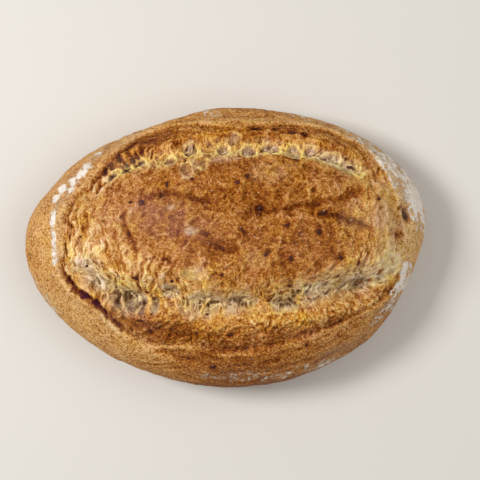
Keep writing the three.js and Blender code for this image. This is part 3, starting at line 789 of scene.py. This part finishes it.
# single ovals: x, y, half length, half width, turn in degrees
calmEnd = (100, 32, 30, 22, 0)  # the right end is smoother
calmIsland = (0, 5, 65, 24, 0)  # and so is the middle of the lid
ochreStrip = (-85, -36, 17, 4.5, -30)  # a thin ochre fold along the lower tear's left end
# dark pits: painted shade in small pits and holes, one of them in the end pocket
darkPits = [  # the same, then how much browner
    (127, 23, 5.4, 2.2, 118, 0.6), (85, 61, 1.7, 1.2, 0, 0.5), (90, 55.6, 2.2, 1.5, -30, 0.55),
    (40, 60.5, 9, 1.3, -12, 0.25), (121.5, 28, 2.2, 1.2, 60, 0.5), (49, -34, 1.8, 1.3, 0, 0.5),
    (59, -35, 1.6, 1.3, 0, 0.4), (96.4, -25, 2, 1.5, 0, 0.5), (102, -23, 1.7, 1.3, 0, 0.5),
    (-70, 61, 3, 1.8, 40, 0.4), (-77.4, 51, 2.4, 1.8, 0, 0.45), (-66.6, 55, 2, 1.5, 0, 0.5),
    (-60, 58, 2, 1.4, 0, 0.4), (22.5, 81, 3, 1.5, 0, 0.35), (35.6, 80, 2.6, 1.6, 0, 0.3),
    (55.5, 76.5, 2.6, 2.6, 20, 0.5), (107, -16, 3, 2.4, 30, 0.35), (115.5, -9.6, 1.6, 3, 0, 0.4),
    (-76, -33, 3.4, 1.6, -60, 0.3), (-106, 2, 1.4, 2, 0, 0.4), (-28.8, -21.6, 1.6, 2.4, 0, 0.35),
    (-37, -7, 2, 2, 0, 0.35), (-10, 8.6, 2.2, 1.8, 0, 0.4), (-52, 29, 2.2, 1.8, 0, 0.4),
]
pallor = [  # the same, then how pale: places where cream crumb shows through
    (-95, -6, 12, 12, -30, 0.15), (-86, -22, 14, 7.5, -32, 0.9), (-66, -35.5, 16, 8.5, -12, 1.1),
    (-36.5, -27.5, 6, 3.5, 0, 0.9), (-14, -38.5, 13, 9, 0, 1.1), (10, -37.5, 15, 7.6, 0, 1.1),
    (41, -37, 12, 6, 0, 1.1), (64, -30.5, 19, 7.5, 9, 1.05), (95, -24, 18, 7, 20, 1.05),
    (80, -17, 24, 6, 12, 0.4), (81, 58.5, 17, 3.6, -22, 0.95), (114, -13, 6, 9, 0, 0.8),
    (110, 2, 9, 30, 0, 0.25), (92, 20, 14, 10, 0, 0.15), (-19, -17, 8, 5, 0, 0.55),
    (-32.7, 26, 3.2, 1.8, -10, 0.6), (-19, 10.7, 4.2, 2.6, 0, 0.6), (23, -8, 9, 5.5, 0, 0.15),
    (-20, 52, 7, 7, 0, 0.2), (0, 60, 12, 4, 0, 0.4), (30, 48, 12, 7, 0, 0.15),
]
# these ovals darken the crumb in the lower tear's pockets: painted shade
crumbShade = [  # the same, then how much darker the crumb is
    (-93, -19, 11, 8, -30, 0.12), (-74, -33, 13, 7, -28, 0.16), (-64, -39, 11, 5, -8, 0.32),
    (-36.5, -28, 6, 3, 0, 0.15), (8, -40, 12, 4, 0, 0.16), (41, -36.5, 10, 3.5, 0, 0.27),
    (62, -34.5, 17, 4, 8, 0.28), (92, -28, 15, 4, 18, 0.3), (104, -22, 9, 6, 20, 0.1),
]
flouring = [  # the same, then how thick the flour lies
    (-97, 50.5, 4.1, 3, 45, 1.2), (-103, 45, 3, 2.5, 60, 1.1), (-110, 40, 3.6, 2.6, 50, 1.2),
    (-114, 33.5, 4, 2.5, 55, 1.1), (-114.5, 19, 8, 2.4, 85, 1.1), (-103.5, 39.5, 2.4, 2, 0, 0.9),
    (-87, 64, 6, 2.4, 38, 0.7), (-93.5, 55.5, 5, 3.2, 40, 1.1), (-114, 1, 14, 2.5, 92, 0.95),
    (-106, 40, 17, 6, 52, 0.3), (-122, -36, 22, 2.4, -60, 0.5), (102, 66, 22, 8, -38, 0.7),
    (117, 45, 20, 8, -57, 0.42), (128, 48, 20, 7, -57, 0.8), (136, 27, 16, 8, -78, 0.9),
    (143, 5, 14, 4, -88, 0.8), (124, -20, 11, 6, 66, 1.5), (118, -30, 8, 2.6, 55, 0.9),
    (112, -42, 16, 4, 45, 0.5), (62, -82, 24, 4, 12, 0.55), (14, -88, 32, 4, 0, 0.42),
    (-8, 93, 8, 3, 0, 0.5), (60, 88, 14, 3, -14, 0.45),
]
dusting = [  # the same, then how much of it is rubbed thin into the crust
    (20, -88, 50, 8, 0, 0.2), (76, -76, 24, 7, 22, 0.6), (100, 72, 26, 8, -38, 0.7),
    (120, 44, 24, 12, -60, 0.8), (-75, 72, 30, 6, 33, 0.5), (-108, 36, 22, 9, 52, 0.45),
    (-112, 0, 22, 4, 90, 0.3), (112, -42, 24, 6, 50, 0.4),
]
# noise that breaks up the edges and the evenness of these: millimetres apart, how much
uneven = dict(
    crumbEdge=[(6, 0.3), (2.6, 0.2)], crumbInside=[((8, 5, 8), 0.36), (3, 0.24)],
    burntEdge=[(3.5, 1.2), (1.8, 0.8)], burntInside=[(6, 0.5), (2.6, 0.7)],
    flourEdge=[(5, 0.35), (2.4, 0.35)], flourStreaks=[((14, 14, 2.2), 0.9), ((7, 7, 1.7), 0.7)],
)


def softened(grid, reach, wraps):
    # mean over a square of grid steps either way, by differences of running sums; wraps names the closed axes
    for axis in (0, 1):
        pad = [(reach + 1, reach) if i == axis else (0, 0) for i in (0, 1)]
        sums = np.cumsum(np.pad(grid, pad, mode="wrap" if axis in wraps else "edge"), axis=axis)
        places = np.arange(grid.shape[axis])
        ahead, behind = (np.take(sums, places + shift, axis=axis) for shift in (2 * reach + 1, 0))
        grid = (ahead - behind) / (2 * reach + 1)
    return grid


def reliefLightOf(fields, shape, wraps):
    # how far each point stands out from the mean round it, less for crests beside the gap inside the lip;
    # the colours use it as painted light on crests and painted shade in hollows
    height, bands = fields["height"].reshape(shape), fields["bands"]
    proud = np.clip((height - softened(height, 4, wraps)).ravel(), -1.6, 1.6)
    besideGap = 0.9 * bell(bands["pastLip"] - 1, 4) * np.clip(bands["notch"], 0, 1)
    return np.where(proud > 0, proud * (1 - besideGap), proud)


def spotsAt(x, y):
    # how much each of the listed places shows at points seen from above
    patches, ruddy = np.zeros(x.shape), np.zeros(x.shape)
    for *oval, browner, ruddier in browning["patches"]:
        shown = bell(farOut(x, y, *oval, 0), 1)
        patches += browner * shown
        ruddy += ruddier * shown
    return dict(patches=patches, ruddy=np.clip(ruddy, 0, 1), pit=ovalSum(x, y, darkPits),
                ochre=bell(farOut(x, y, *ochreStrip), 1), calm=1 - 0.5 * bell(farOut(x, y, *calmEnd), 1))


def brownOf(fields, spots, proud):
    # browning rises on the lid and falls on drawn-out fibres and next to the tears, where the dough opened
    # last;
    # the rise in hollows and the fall on crests are painted shade and painted light
    point, bands, zones, pattern = (fields[k] for k in ("plain", "bands", "zones", "pattern"))
    x, past, angle = point[0], bands["pastLip"], bands["lipAngle"]
    (_, lowAcross), (_, highAcross) = bands["tears"]
    browner, paler = browning["browner"], browning["paler"]
    fibre, folds, calm = zones["fibre"], zones["fold"] * pattern["folds"], spots["calm"]
    rim = browning["rim"] + bulgeSum(angle, browning["rimPlaces"]) + browner["foot"] * smooth(25, 5, point[2])
    rim += noiseLayers(point, [(apart, browner["blotches"]) for apart in (22, 7)], 53, 18)
    rim -= paler["rimCrags"] * (pattern["rimCrags"] + folds)
    top = browning["ring"] + (browning["island"] - browning["ring"]) * zones["onLid"] + spots["patches"]
    top -= paler["lowTear"] * smooth(24, 12, lowAcross) * smooth(-4, -2, lowAcross)
    top -= paler["highTear"] * smooth(12, 6, highAcross) * smooth(-4, -2, highAcross)
    crests = paler["crags"] * pattern["crags"] + paler["grains"] * pattern["grains"]
    top -= calm * (1 - 0.6 * fibre) * crests + paler["gold"] * zones["gold"]
    top -= calm * fibre * (paler["fibres"] + paler["leftFibres"] * smooth(0, -30, x)) * pattern["fibres"]
    top -= paler["beads"] * (pattern["beads"] - 0.1) * zones["bead"] + paler["folds"] * folds
    for crease, (share, across) in zip(creases, bands["creases"]):
        top += crease["browner"] * bell(across, crease["width"] * 0.7) * fadeEnds(share, 0.15)
    # skin patches with soft borders, a shade browner or paler
    skin = smooth(-0.12, 0.12, slopeNoise(point + 3 * slopeNoise(point, 6, 58), 15, 51)) - 0.5
    top += browner["skin"] * skin + browner["blotches"] * slopeNoise(point, 6, 52) - paler["all"]
    # painted shade on the torn ring just inside the lip
    top += browner["ringShade"] * smooth(-12, -5, past) * bulgeSum(angle, browning["ringShade"])
    # crests paler and hollows browner by how far they stand out: painted light and painted shade
    brown = rim + (top - rim) * smooth(0.2, 0.9, zones["torn"]) - paler["proud"] * proud
    brown += zones["crumb"] * (1 - zones["hollow"]) * (browner["crumb"] - paler["web"] * pattern["web"])
    # darker in small pits and round each seed: painted shade and painted shadow
    brown += spots["pit"] + browner["paintedSeedShadow"] * fields["stain"] + browner["ochre"] * spots["ochre"]
    brown -= paler["strings"] * zones["stringy"] * pattern["strings"] + paler["strand"] * zones["strand"]
    brown -= paler["wall"] * zones["wall"] + paler["bubbles"] * zones["high"] * bell(highAcross, 5)
    upperLeft = smooth(-25, -50, x) * smooth(6, -1, highAcross) * smooth(-22, -16, highAcross)
    brown += upperLeft * (browner["upperLeft"] - paler["upperLeftFibres"] * (pattern["fibres"] - 0.1) * fibre)
    # a painted highlight along the lip's raised crest
    brown -= paler["lipCrest"] * bell(past - 0.4, 0.8) * np.clip(bands["crest"], 0, 1)
    for out, over, at, spread, darker in browning["edgeShade"]:
        brown += darker * bell(past - out, over) * bell(turnFrom(at, angle), spread)
    return brown


# How much of the crumb shows in each zone; then its lightness from 0 to 1, and what each adds or takes away;
# the darker brims and holes are painted shade, and the relief's share is painted light and shade
crumbTones = dict(
    shows=dict(cave=0.95, bowl=0.85, wall=0.85, hole=0.35), besideBubbles=0.62,
    light=0.74,
    lighter=dict(wall=0.24, proud=0.12, pale=0.1, web=0.2, caveThreads=0.2, bowlThreads=0.22),
    darker=dict(brim=0.06, hole=0.8, lowTear=0.1, highLeft=0.1, cave=0.03, bowl=0.13),
)


def crumbOf(fields, spots, proud):
    # how far the cream crumb shows, and how light it is: pale walls; painted shade in brims, holes and
    # hollows, and painted light on crests
    point, bands, zones, pattern = (fields[k] for k in ("plain", "bands", "zones", "pattern"))
    shows, lighter, darker = (crumbTones[k] for k in ("shows", "lighter", "darker"))
    cave, bowl, high = zones["cave"], zones["bowl"], zones["high"]
    x, y = point[0], point[1]
    (_, lowAcross), (_, highAcross) = bands["tears"]
    frayed = noiseLayers(point, uneven["crumbEdge"], 55, 13)
    pale = np.minimum(ovalSum(x, y, pallor, frayed), 1)
    pale += crumbTones["besideBubbles"] * high * bell(highAcross - 2.5, 5) * (1 - 0.4 * smooth(0, -25, x))
    pale *= 0.85 + 0.4 * slopeNoise(point, 5, 55)
    inner = dict(zones, hole=zones["crumb"] * (1 - pattern["web"]))
    shown = np.maximum.reduce([share * inner[name] for name, share in shows.items()] + [pale * zones["torn"]])
    shown = np.clip(shown, 0, 1) * (1 - 0.85 * zones["strand"]) * np.clip(1 - 1.6 * spots["pit"], 0, 1)
    airy = crumbTones["light"] + lighter["web"] * zones["crumb"] * (pattern["web"] - 0.5)
    # crumb lighter on crests and darker in hollows by how far they stand out: painted light and painted shade
    airy += lighter["proud"] * proud + lighter["wall"] * zones["wall"] + lighter["pale"] * pale
    # holes in the crumb's web made dark: painted shade
    airy -= darker["hole"] * inner["hole"] * np.clip(pattern["webOwn"] - 0.5, 0, 1)
    airy -= darker["lowTear"] * bell(lowAcross - 3, 14) * smooth(-85, -65, x) * smooth(75, 50, x) * pale
    airy -= darker["highLeft"] * high * smooth(0, -25, x) + darker["brim"] * zones["brim"]
    airy -= sum(amount * bell(farOut(x, y, *oval) + frayed, 1) for *oval, amount in crumbShade)
    airy += cave * (noiseLayers(point, uneven["crumbInside"], 56, 4) - darker["cave"])
    airy += bowl * (0.3 * slopeNoise(point, 3.5, 57) - darker["bowl"])
    airy += (lighter["caveThreads"] * cave + lighter["bowlThreads"] * bowl) * pattern["threads"]
    return shown, airy


def burntOf(fields):
    # a burnt edge just inside the lip, jagged and broken, on the upper side alone
    point, bands = fields["plain"], fields["bands"]
    jagged = bands["pastLip"] + noiseLayers(point, uneven["burntEdge"], 59, -10)
    broken = np.clip(0.8 + noiseLayers(point, uneven["burntInside"], 54, 15), 0, 1.2)
    along = np.clip(bulgeSum(bands["lipAngle"], browning["burnt"]), 0, 1)
    return smooth(-4.2, -3.4, jagged) * smooth(-0.4, -1, jagged) * along * broken * smooth(36, 44, point[2])


def flourOf(fields, pit):
    # flour in ragged patches, streaky along the rim on the right, and flour rubbed thin round them
    point, past, around = fields["plain"], fields["bands"]["pastLip"], fields["bands"]["around"]
    x, y, z = point
    ragged = noiseLayers(point, uneven["flourEdge"], 66)
    streaks = noiseLayers(around, uneven["flourStreaks"], 63, -1)
    flour = ovalSum(x, y, flouring, ragged) * smooth(-2.5, -0.5, past) * smooth(8, 20, z)
    flour *= (1 + streaks * smooth(-40, 0, x)) * np.clip(1 - 2.5 * pit, 0, 1)
    flour -= 0.4 * smooth(0.15, 0, flour)  # no stray specks of it elsewhere
    dust = ovalSum(x, y, dusting, power=2) * smooth(-2.5, 0, past) * smooth(14, 32, z)
    dust *= 0.7 + 0.9 * slopeNoise(around, (22, 22, 2.2), 64) + 0.5 * streaks
    return flour, np.clip(dust, 0, 1)


# How golden each place is, from 0 to 1; how much more or less of the blue it has; and how far strokes show
goldTones = dict(ridge=0.9, lowTear=0.6, highTear=0.6, left=0.2, strand=0.5, ochre=0.6, strings=0.5)
blueShares = dict(rim=0.12, torn=0.21, wall=-0.3, bowl=0.1, ruddy=0.15, bubbles=-0.15)
strokeShares = dict(rim=0.7, fibre=0.3, torn=0.05, lid=-0.3, rightEnd=-0.25, island=-0.12, calm=-0.3,
                    crumb=-0.6)


def crustColours(fields, shape, wraps):
    # the level of each colour at each point, which the material mixes
    point, zones, gold, blue, stroke = fields["plain"], fields["zones"], goldTones, blueShares, strokeShares
    torn, onLid, bowl, ridge = (zones[k] for k in ("torn", "onLid", "bowl", "gold"))
    x, y = point[0], point[1]
    (_, lowAcross), (_, highAcross) = fields["bands"]["tears"]
    proud, spots, char = reliefLightOf(fields, shape, wraps), spotsAt(x, y), burntOf(fields)
    shown, airy = crumbOf(fields, spots, proud)
    flour, dust = flourOf(fields, spots["pit"])
    crinkle = stroke["rim"] + stroke["fibre"] * zones["fibre"]
    crinkle += torn * (stroke["torn"] + stroke["lid"] * onLid + stroke["rightEnd"] * smooth(85, 110, x))
    crinkle += torn * stroke["island"] * bell(farOut(x, y, *calmIsland), 1)
    crinkle += torn * stroke["calm"] * (1 - spots["calm"])
    # bluer or yellower patches of several sizes, as a share of the blue
    blotches = sum(slopeNoise(point, apart, 80 + apart) for apart in (14, 7, 4))
    cool = 1 + (blue["rim"] + blue["torn"] * torn) * (1 - 0.5 * shown) * blotches
    cool *= (1 + blue["wall"] * zones["wall"]) * (1 + blue["bowl"] * bowl)
    cool *= 1 + blue["ruddy"] * spots["ruddy"] * onLid
    cool *= 1 + blue["bubbles"] * zones["high"] * (1 - bowl) * smooth(70, 50, x)
    golden = gold["ridge"] * ridge + gold["left"] * smooth(-95, -50, x) + gold["strand"] * zones["strand"]
    golden += gold["lowTear"] * smooth(18, 6, lowAcross) * smooth(-4, 0, lowAcross) * smooth(-80, -50, x)
    golden += gold["highTear"] * smooth(14, 5, np.abs(highAcross + 2)) * smooth(-85, -70, x)
    golden *= (1 - 0.5 * smooth(45, 80, x)) * (1 - 0.3 * ridge * smooth(60, 30, x))
    golden += gold["ochre"] * spots["ochre"]
    golden += gold["strings"] * zones["stringy"] * fields["pattern"]["strings"]
    return dict(
        brown=brownOf(fields, spots, proud) + browning["browner"]["char"] * char, ruddy=spots["ruddy"] * torn,
        golden=np.clip(golden, 0, 1) * torn, crumb=shown * (1 - 0.8 * spots["ochre"]), airy=airy, char=char,
        flour=flour, crinkle=crinkle * (1 + stroke["crumb"] * shown), fibre=zones["fibre"],
        cool=np.clip(cool, 0.4, 1.7), dust=dust,
    )


def crustAttributes(points, fields, shape, wraps):
    # the colours of a crust's shown points, and a plain brown for the hidden ones that follow them
    hidden = dict(brown=0.5, flour=0.2, crinkle=0.3, cool=1.0)
    colours = crustColours(fields, shape, wraps)
    return {key: np.concatenate([shown, np.full(points.shape[1] - len(shown), hidden.get(key, 0.0))])
            for key, shown in colours.items()}


# Baked crust: matt, with fine grain; its colour runs from pale cream through gold and orange brown to burnt

crustFinish = dict(
    # level and colour, for the browned crust and for the crumb
    browned=[(0.0, "#f4dcae"), (0.18, "#e0b67c"), (0.34, "#cc9858"), (0.5, "#a96a2c"), (0.66, "#7f430e"),
             (0.82, "#572408"), (1.0, "#290f06")],
    crumb=[(0.0, "#33200f"), (0.22, "#644f38"), (0.42, "#98805f"), (0.6, "#c4aa84"), (0.78, "#e2ca98"),
           (1.0, "#f6e6bc")],
    # the pale speck colour below is a painted glint of light
    golden="#fff0b4", ruddy="#9e6c5a", fleck="#f0cda0", pit="#4a1c12", char="#4a1c2c",
    flour="#f0e8de", thinFlour="#b8a792",
    # millimetres; real specks and flour are finer, and are drawn as coarse as they need to show
    bendApart=7, bendReach=5, strokeApart=1.9, fibreApart=1.5, speckApart=1.2, fleckApart=1.7, pitApart=4.5,
    flourFlake=3.0, bumpDepth=0.7,
    fibreStretch=(1, 0.2, 0.2),  # fibres run five times as long along y and z
    # noise levels between which each layer appears, and how much of it shows below and above them
    shows=dict(fleck=(0.74, 0.84, 0.0, 0.4), pit=(0.7, 0.78, 0.0, 0.7), flour=(0.06, 0.42, 0.0, 1.0),
               thickFlour=(0.25, 0.7, 0.0, 1.0), haze=(0.35, 0.65, 0.1, 0.9)),
    most=dict(ruddy=0.38, fleck=1.0, pit=1.0, crumb=0.95, char=0.9, flour=0.88),
    # what the gaps between strokes, and the specks, add to each level and to the bump;
    # the gaps' darkening is painted shade in the grooves that the bump sinks
    gaps=dict(browned=0.8, crumb=-0.8, bump=-3.0),
    specks=dict(browned=0.7, crumb=-0.6, char=0.9, flour=1.5, bump=0.5),
    flakeThinner=-0.75, bumpStrength=0.8,
    roughness=0.6, ior=1.45, specular=0.05,
)


def crustMaterial():
    # ramps for browned dough and crumb, with the other layers mixed over them by the levels of crustColours
    material, tree = newMaterial("bakedCrust")
    look, mm = crustFinish, millimetre
    gaps, specks = look["gaps"], look["specks"]
    times, timesPlus, minus = (dict(operation=kind) for kind in ("MULTIPLY", "MULTIPLY_ADD", "SUBTRACT"))
    mixed, tinted = dict(data_type="RGBA"), dict(data_type="RGBA", blend_type="MULTIPLY")
    place = addNode(tree, "TexCoord").outputs["Object"]
    names = ("brown", "ruddy", "golden", "crumb", "airy", "char", "flour", "crinkle", "fibre", "cool", "dust")
    brown, ruddy, golden, crumb, airy, char, flour, crinkle, fibre, cool, dust = (
        addNode(tree, "Attribute", dict(attribute_name=name)).outputs["Fac"] for name in names)
    bend = addNode(tree, "TexNoise", Vector=place, Scale=1 / (look["bendApart"] * mm), Detail=1.0)
    bent = addNode(tree, "VectorMath", timesPlus, in0=bend.outputs["Color"], in1=[look["bendReach"] * mm] * 3,
                   in2=place)
    drawn = addNode(tree, "Mapping", Vector=bent, Scale=look["fibreStretch"])  # long along the fibres
    # where each noise lies, how far apart, with how many finer layers, and how rough these are
    noises = dict(
        stroke=(bent, 3.0, 0.6), fibre=(drawn, 2.0, 0.6), speck=(place, 2.0, 0.6),
        fleck=(bent, 0.0, 0.5), pit=(bent, 1.0, 0.5),
    )
    noise = {name: addNode(tree, "TexNoise", Vector=where, Scale=1 / (look[name + "Apart"] * mm),
                           Detail=layers, Roughness=rough)
             for name, (where, layers, rough) in noises.items()}
    # swirling strokes, or long ones along the fibres, and the gaps between them
    both = addNode(tree, "Mix", in0=fibre, in2=noise["stroke"], in3=noise["fibre"])
    middle = addNode(tree, "Math", minus, in0=both, in1=0.5)
    crest = addNode(tree, "Math", dict(operation="ABSOLUTE"), in0=middle)
    gap = addNode(tree, "Math", timesPlus, in0=crest, in1=1.0, in2=middle)
    gapShown = addNode(tree, "Math", times, in0=gap, in1=crinkle)
    speck = addNode(tree, "Math", minus, in0=noise["speck"], in1=0.5)
    # browned dough and crumb: darker between the strokes, a painted shade in their grooves, with a fine grain
    # of specks
    tones = []
    for name, base in (("browned", brown), ("crumb", airy)):
        coarse = addNode(tree, "Math", timesPlus, in0=gapShown, in1=gaps[name], in2=base)
        level = addNode(tree, "Math", timesPlus, in0=speck, in1=specks[name], in2=coarse)
        ramp = addNode(tree, "ValToRGB", Fac=level)
        stops = ramp.color_ramp.elements
        while len(stops) < len(look[name]):
            stops.new(0.5)
        for stop, (at, colour) in zip(stops, look[name]):
            stop.position, stop.color = at, linear(colour)
        tones.append(ramp)
    # how much shows of each layer over the browned dough; flour lies in flakes, each thicker or thinner
    burnt = addNode(tree, "Math", dict(timesPlus, use_clamp=True), in0=speck, in1=specks["char"], in2=char)
    flakes = addNode(tree, "TexVoronoi", Vector=bent, Scale=1 / (look["flourFlake"] * mm))
    flake = addNode(tree, "SeparateColor", in0=flakes.outputs["Color"])
    thick = addNode(tree, "Math", timesPlus, in0=flake, in1=look["flakeThinner"], in2=flour)
    floured = addNode(tree, "Math", timesPlus, in0=speck, in1=specks["flour"], in2=thick)
    sources = dict(noise, flour=floured, thickFlour=floured, haze=noise["speck"])
    shown = {name: addNode(tree, "MapRange", in0=sources[name], in1=start, in2=end, in3=least, in4=full)
             for name, (start, end, least, full) in look["shows"].items()}
    haze = addNode(tree, "Math", times, in0=shown["haze"], in1=dust)
    flourTone = addNode(tree, "Mix", mixed, in0=shown["thickFlour"], in6=linear(look["thinFlour"]),
                        in7=linear(look["flour"])).outputs[2]
    # golden places keep their red and lose blue, and cool ones gain it
    colour = addNode(tree, "Mix", tinted, in0=golden, in6=tones[0], in7=linear(look["golden"])).outputs[2]
    layers = [
        ("ruddy", ruddy, linear(look["ruddy"])),
        # pale specks: painted glints of light
        ("fleck", shown["fleck"], linear(look["fleck"])),
        # dark pit specks stand for small holes: painted shade
        ("pit", shown["pit"], linear(look["pit"])),
        ("crumb", crumb, tones[1]),
        ("char", burnt, linear(look["char"])),
    ]
    for name, share, over in layers:
        amount = addNode(tree, "Math", dict(times, use_clamp=True), in0=share, in1=look["most"][name])
        colour = addNode(tree, "Mix", mixed, in0=amount, in6=colour, in7=over).outputs[2]
    tint = addNode(tree, "CombineColor", Red=1.0, Green=1.0, Blue=cool)
    colour = addNode(tree, "Mix", tinted, in0=1.0, in6=colour, in7=tint).outputs[2]
    colour = addNode(tree, "Mix", mixed, in0=haze, in6=colour, in7=linear(look["thinFlour"])).outputs[2]
    dusted = addNode(tree, "Math", times, in0=shown["flour"], in1=look["most"]["flour"])
    colour = addNode(tree, "Mix", mixed, in0=dusted, in6=colour, in7=flourTone).outputs[2]
    relief = addNode(tree, "Math", times, in0=gapShown, in1=gaps["bump"])
    grained = addNode(tree, "Math", timesPlus, in0=speck, in1=specks["bump"], in2=relief)
    bump = addNode(tree, "Bump", Strength=look["bumpStrength"], Distance=look["bumpDepth"] * mm,
                   Height=grained)
    shader = addNode(tree, "BsdfPrincipled", Base_Color=colour, Roughness=look["roughness"], IOR=look["ior"],
                     Specular_IOR_Level=look["specular"], Normal=bump)
    addNode(tree, "OutputMaterial", Surface=shader)
    return material


crust = crustMaterial()
for name, wraps, points, faces, fields, shape in crusts:
    makePiece(name, fitted(points).T, faces, crust, crustAttributes(points, fields, shape, wraps))


# Linseeds: flat drops laid on the crust

def lieOn(x, y, step=1.2):
    # where the crust lies over places seen from above, and its way out, from a step each way along it
    def at(dx, dy):
        return crustPoint(domePoint(x + dx, y + dy))[0]
    middle = at(0, 0)
    normal = np.cross((at(step, 0) - at(-step, 0)).T, (at(0, step) - at(0, -step)).T)
    return middle, (normal / np.linalg.norm(normal, axis=1)[:, None]).T


def seedNet():
    # a flat drop: x is cos(down) and the radius sin(down) (1 - narrowing cos(down)), so one end is narrower
    size = seedSizes
    down = np.linspace(0, math.pi, size["bands"] + 1)[1:-1]
    along = np.repeat(np.cos(down), size["sides"])
    radius = np.repeat(np.sin(down), size["sides"]) * (1 - size["narrowing"] * along)
    around = np.tile(np.linspace(0, 2 * math.pi, size["sides"], endpoint=False), size["bands"] - 1)
    ring = np.array([along, radius * np.cos(around), radius * np.sin(around)])
    points = np.concatenate([ring, [[1, -1], [0, 0], [0, 0]]], axis=1)
    points *= np.array([[size["halfLength"]], [size["halfWidth"]], [size["halfThick"]]])
    rows = np.arange((size["bands"] - 1) * size["sides"]).reshape(size["bands"] - 1, size["sides"])
    quads = np.concatenate([band(rows[i], rows[i + 1])[:, ::-1] for i in range(len(rows) - 1)])
    tip, tail = len(ring[0]), len(ring[0]) + 1
    first, last = rows[0], rows[-1]
    tris = np.concatenate([np.stack([np.roll(first, -1), first, np.full(len(first), tip)], axis=-1)[:, ::-1],
                           np.stack([last, np.roll(last, -1), np.full(len(last), tail)], axis=-1)[:, ::-1]])
    return points, quads, tris


def scatter(shape, places, sunk):
    # copies of a small shape, each turned and sized, lying on the crust
    points, quads, tris = shape
    x, y, turn, size = places
    middle, up = lieOn(x, y)
    ahead = np.array([np.cos(turn), np.sin(turn), np.zeros(len(turn))])
    ahead -= up * (ahead * up).sum(axis=0)
    ahead /= np.linalg.norm(ahead, axis=0)
    left = np.cross(up.T, ahead.T).T
    count = points.shape[1]
    placed = (middle[:, :, None] - (up * sunk)[:, :, None]
              + size[None, :, None] * (ahead[:, :, None] * points[0] + left[:, :, None] * points[1]
                                       + up[:, :, None] * points[2]))
    steps = (np.arange(len(x)) * count)[:, None, None]
    return placed.reshape(3, -1), [(quads[None] + steps).reshape(-1, 4), (tris[None] + steps).reshape(-1, 3)]


# Linseed: a smooth brown-black hull with a dull gloss

seedHull = dict(dark="#190c10", light="#5c3020", blotchApart=6, roughness=0.5, ior=1.48, specular=0.15)


def seedMaterial():
    # two browns in soft blotches
    material, tree = newMaterial("linseedHull")
    look = seedHull
    place = addNode(tree, "TexCoord").outputs["Object"]
    tone = addNode(tree, "TexNoise", Vector=place, Scale=1 / (look["blotchApart"] * millimetre), Detail=1.0)
    colour = addNode(tree, "Mix", dict(data_type="RGBA"), in0=tone, in6=linear(look["dark"]),
                     in7=linear(look["light"]))
    shader = addNode(tree, "BsdfPrincipled", Base_Color=colour.outputs[2], Roughness=look["roughness"],
                     IOR=look["ior"], Specular_IOR_Level=look["specular"])
    addNode(tree, "OutputMaterial", Surface=shader)
    return material


seedPoints, seedFaces = scatter(seedNet(), seeds, seedSizes["sunk"])
makePiece("linseeds", fitted(seedPoints).T, seedFaces, seedMaterial())


# Floor of matt pale paper, which gives a soft even shadow, and studio light

studio = dict(
    paper="#d9d5ce", paperRoughness=0.9, paperHalf=3,  # metres, as are the lights' places and sizes
    sky="#f4f1ec", skyStrength=0.36,
    aim=(0, 0, 0.04),
    lights=[  # name, from, size, watts
        ("key", (-0.9, 0.25, 1.2), 0.45, 17),
        ("fill", (0.9, 0.1, 1.4), 1.6, 10),
    ],
)


def paperMaterial():
    # one plain colour, with no gloss
    material, tree = newMaterial("palePaper")
    shader = addNode(tree, "BsdfPrincipled", Base_Color=linear(studio["paper"]),
                     Roughness=studio["paperRoughness"])
    addNode(tree, "OutputMaterial", Surface=shader)
    return material


floorMesh = bpy.data.meshes.new("floor")
floorMesh.from_pydata([(x * studio["paperHalf"], y * studio["paperHalf"], 0)
                       for x, y in ((-1, -1), (1, -1), (1, 1), (-1, 1))], [], [(0, 1, 2, 3)])
floorMesh.materials.append(paperMaterial())
floor = bpy.data.objects.new("floor", floorMesh)
bpy.context.scene.collection.objects.link(floor)

for name, spot, size, watts in studio["lights"]:
    data = bpy.data.lights.new(name, "AREA")
    data.size, data.energy = size, watts
    lamp = bpy.data.objects.new(name, data)
    lamp.location = spot
    aim = np.array(studio["aim"]) - np.array(spot)
    lamp.rotation_euler = (math.acos(-aim[2] / np.linalg.norm(aim)), 0, math.atan2(-aim[0], aim[1]))
    bpy.context.scene.collection.objects.link(lamp)
world = bpy.data.worlds.new("studio")
world.use_nodes = True
background = world.node_tree.nodes["Background"]
background.inputs[0].default_value = linear(studio["sky"])
background.inputs[1].default_value = studio["skyStrength"]
bpy.context.scene.world = world
bpy.context.scene.view_settings.view_transform = "Standard"
print("floor and lights set")
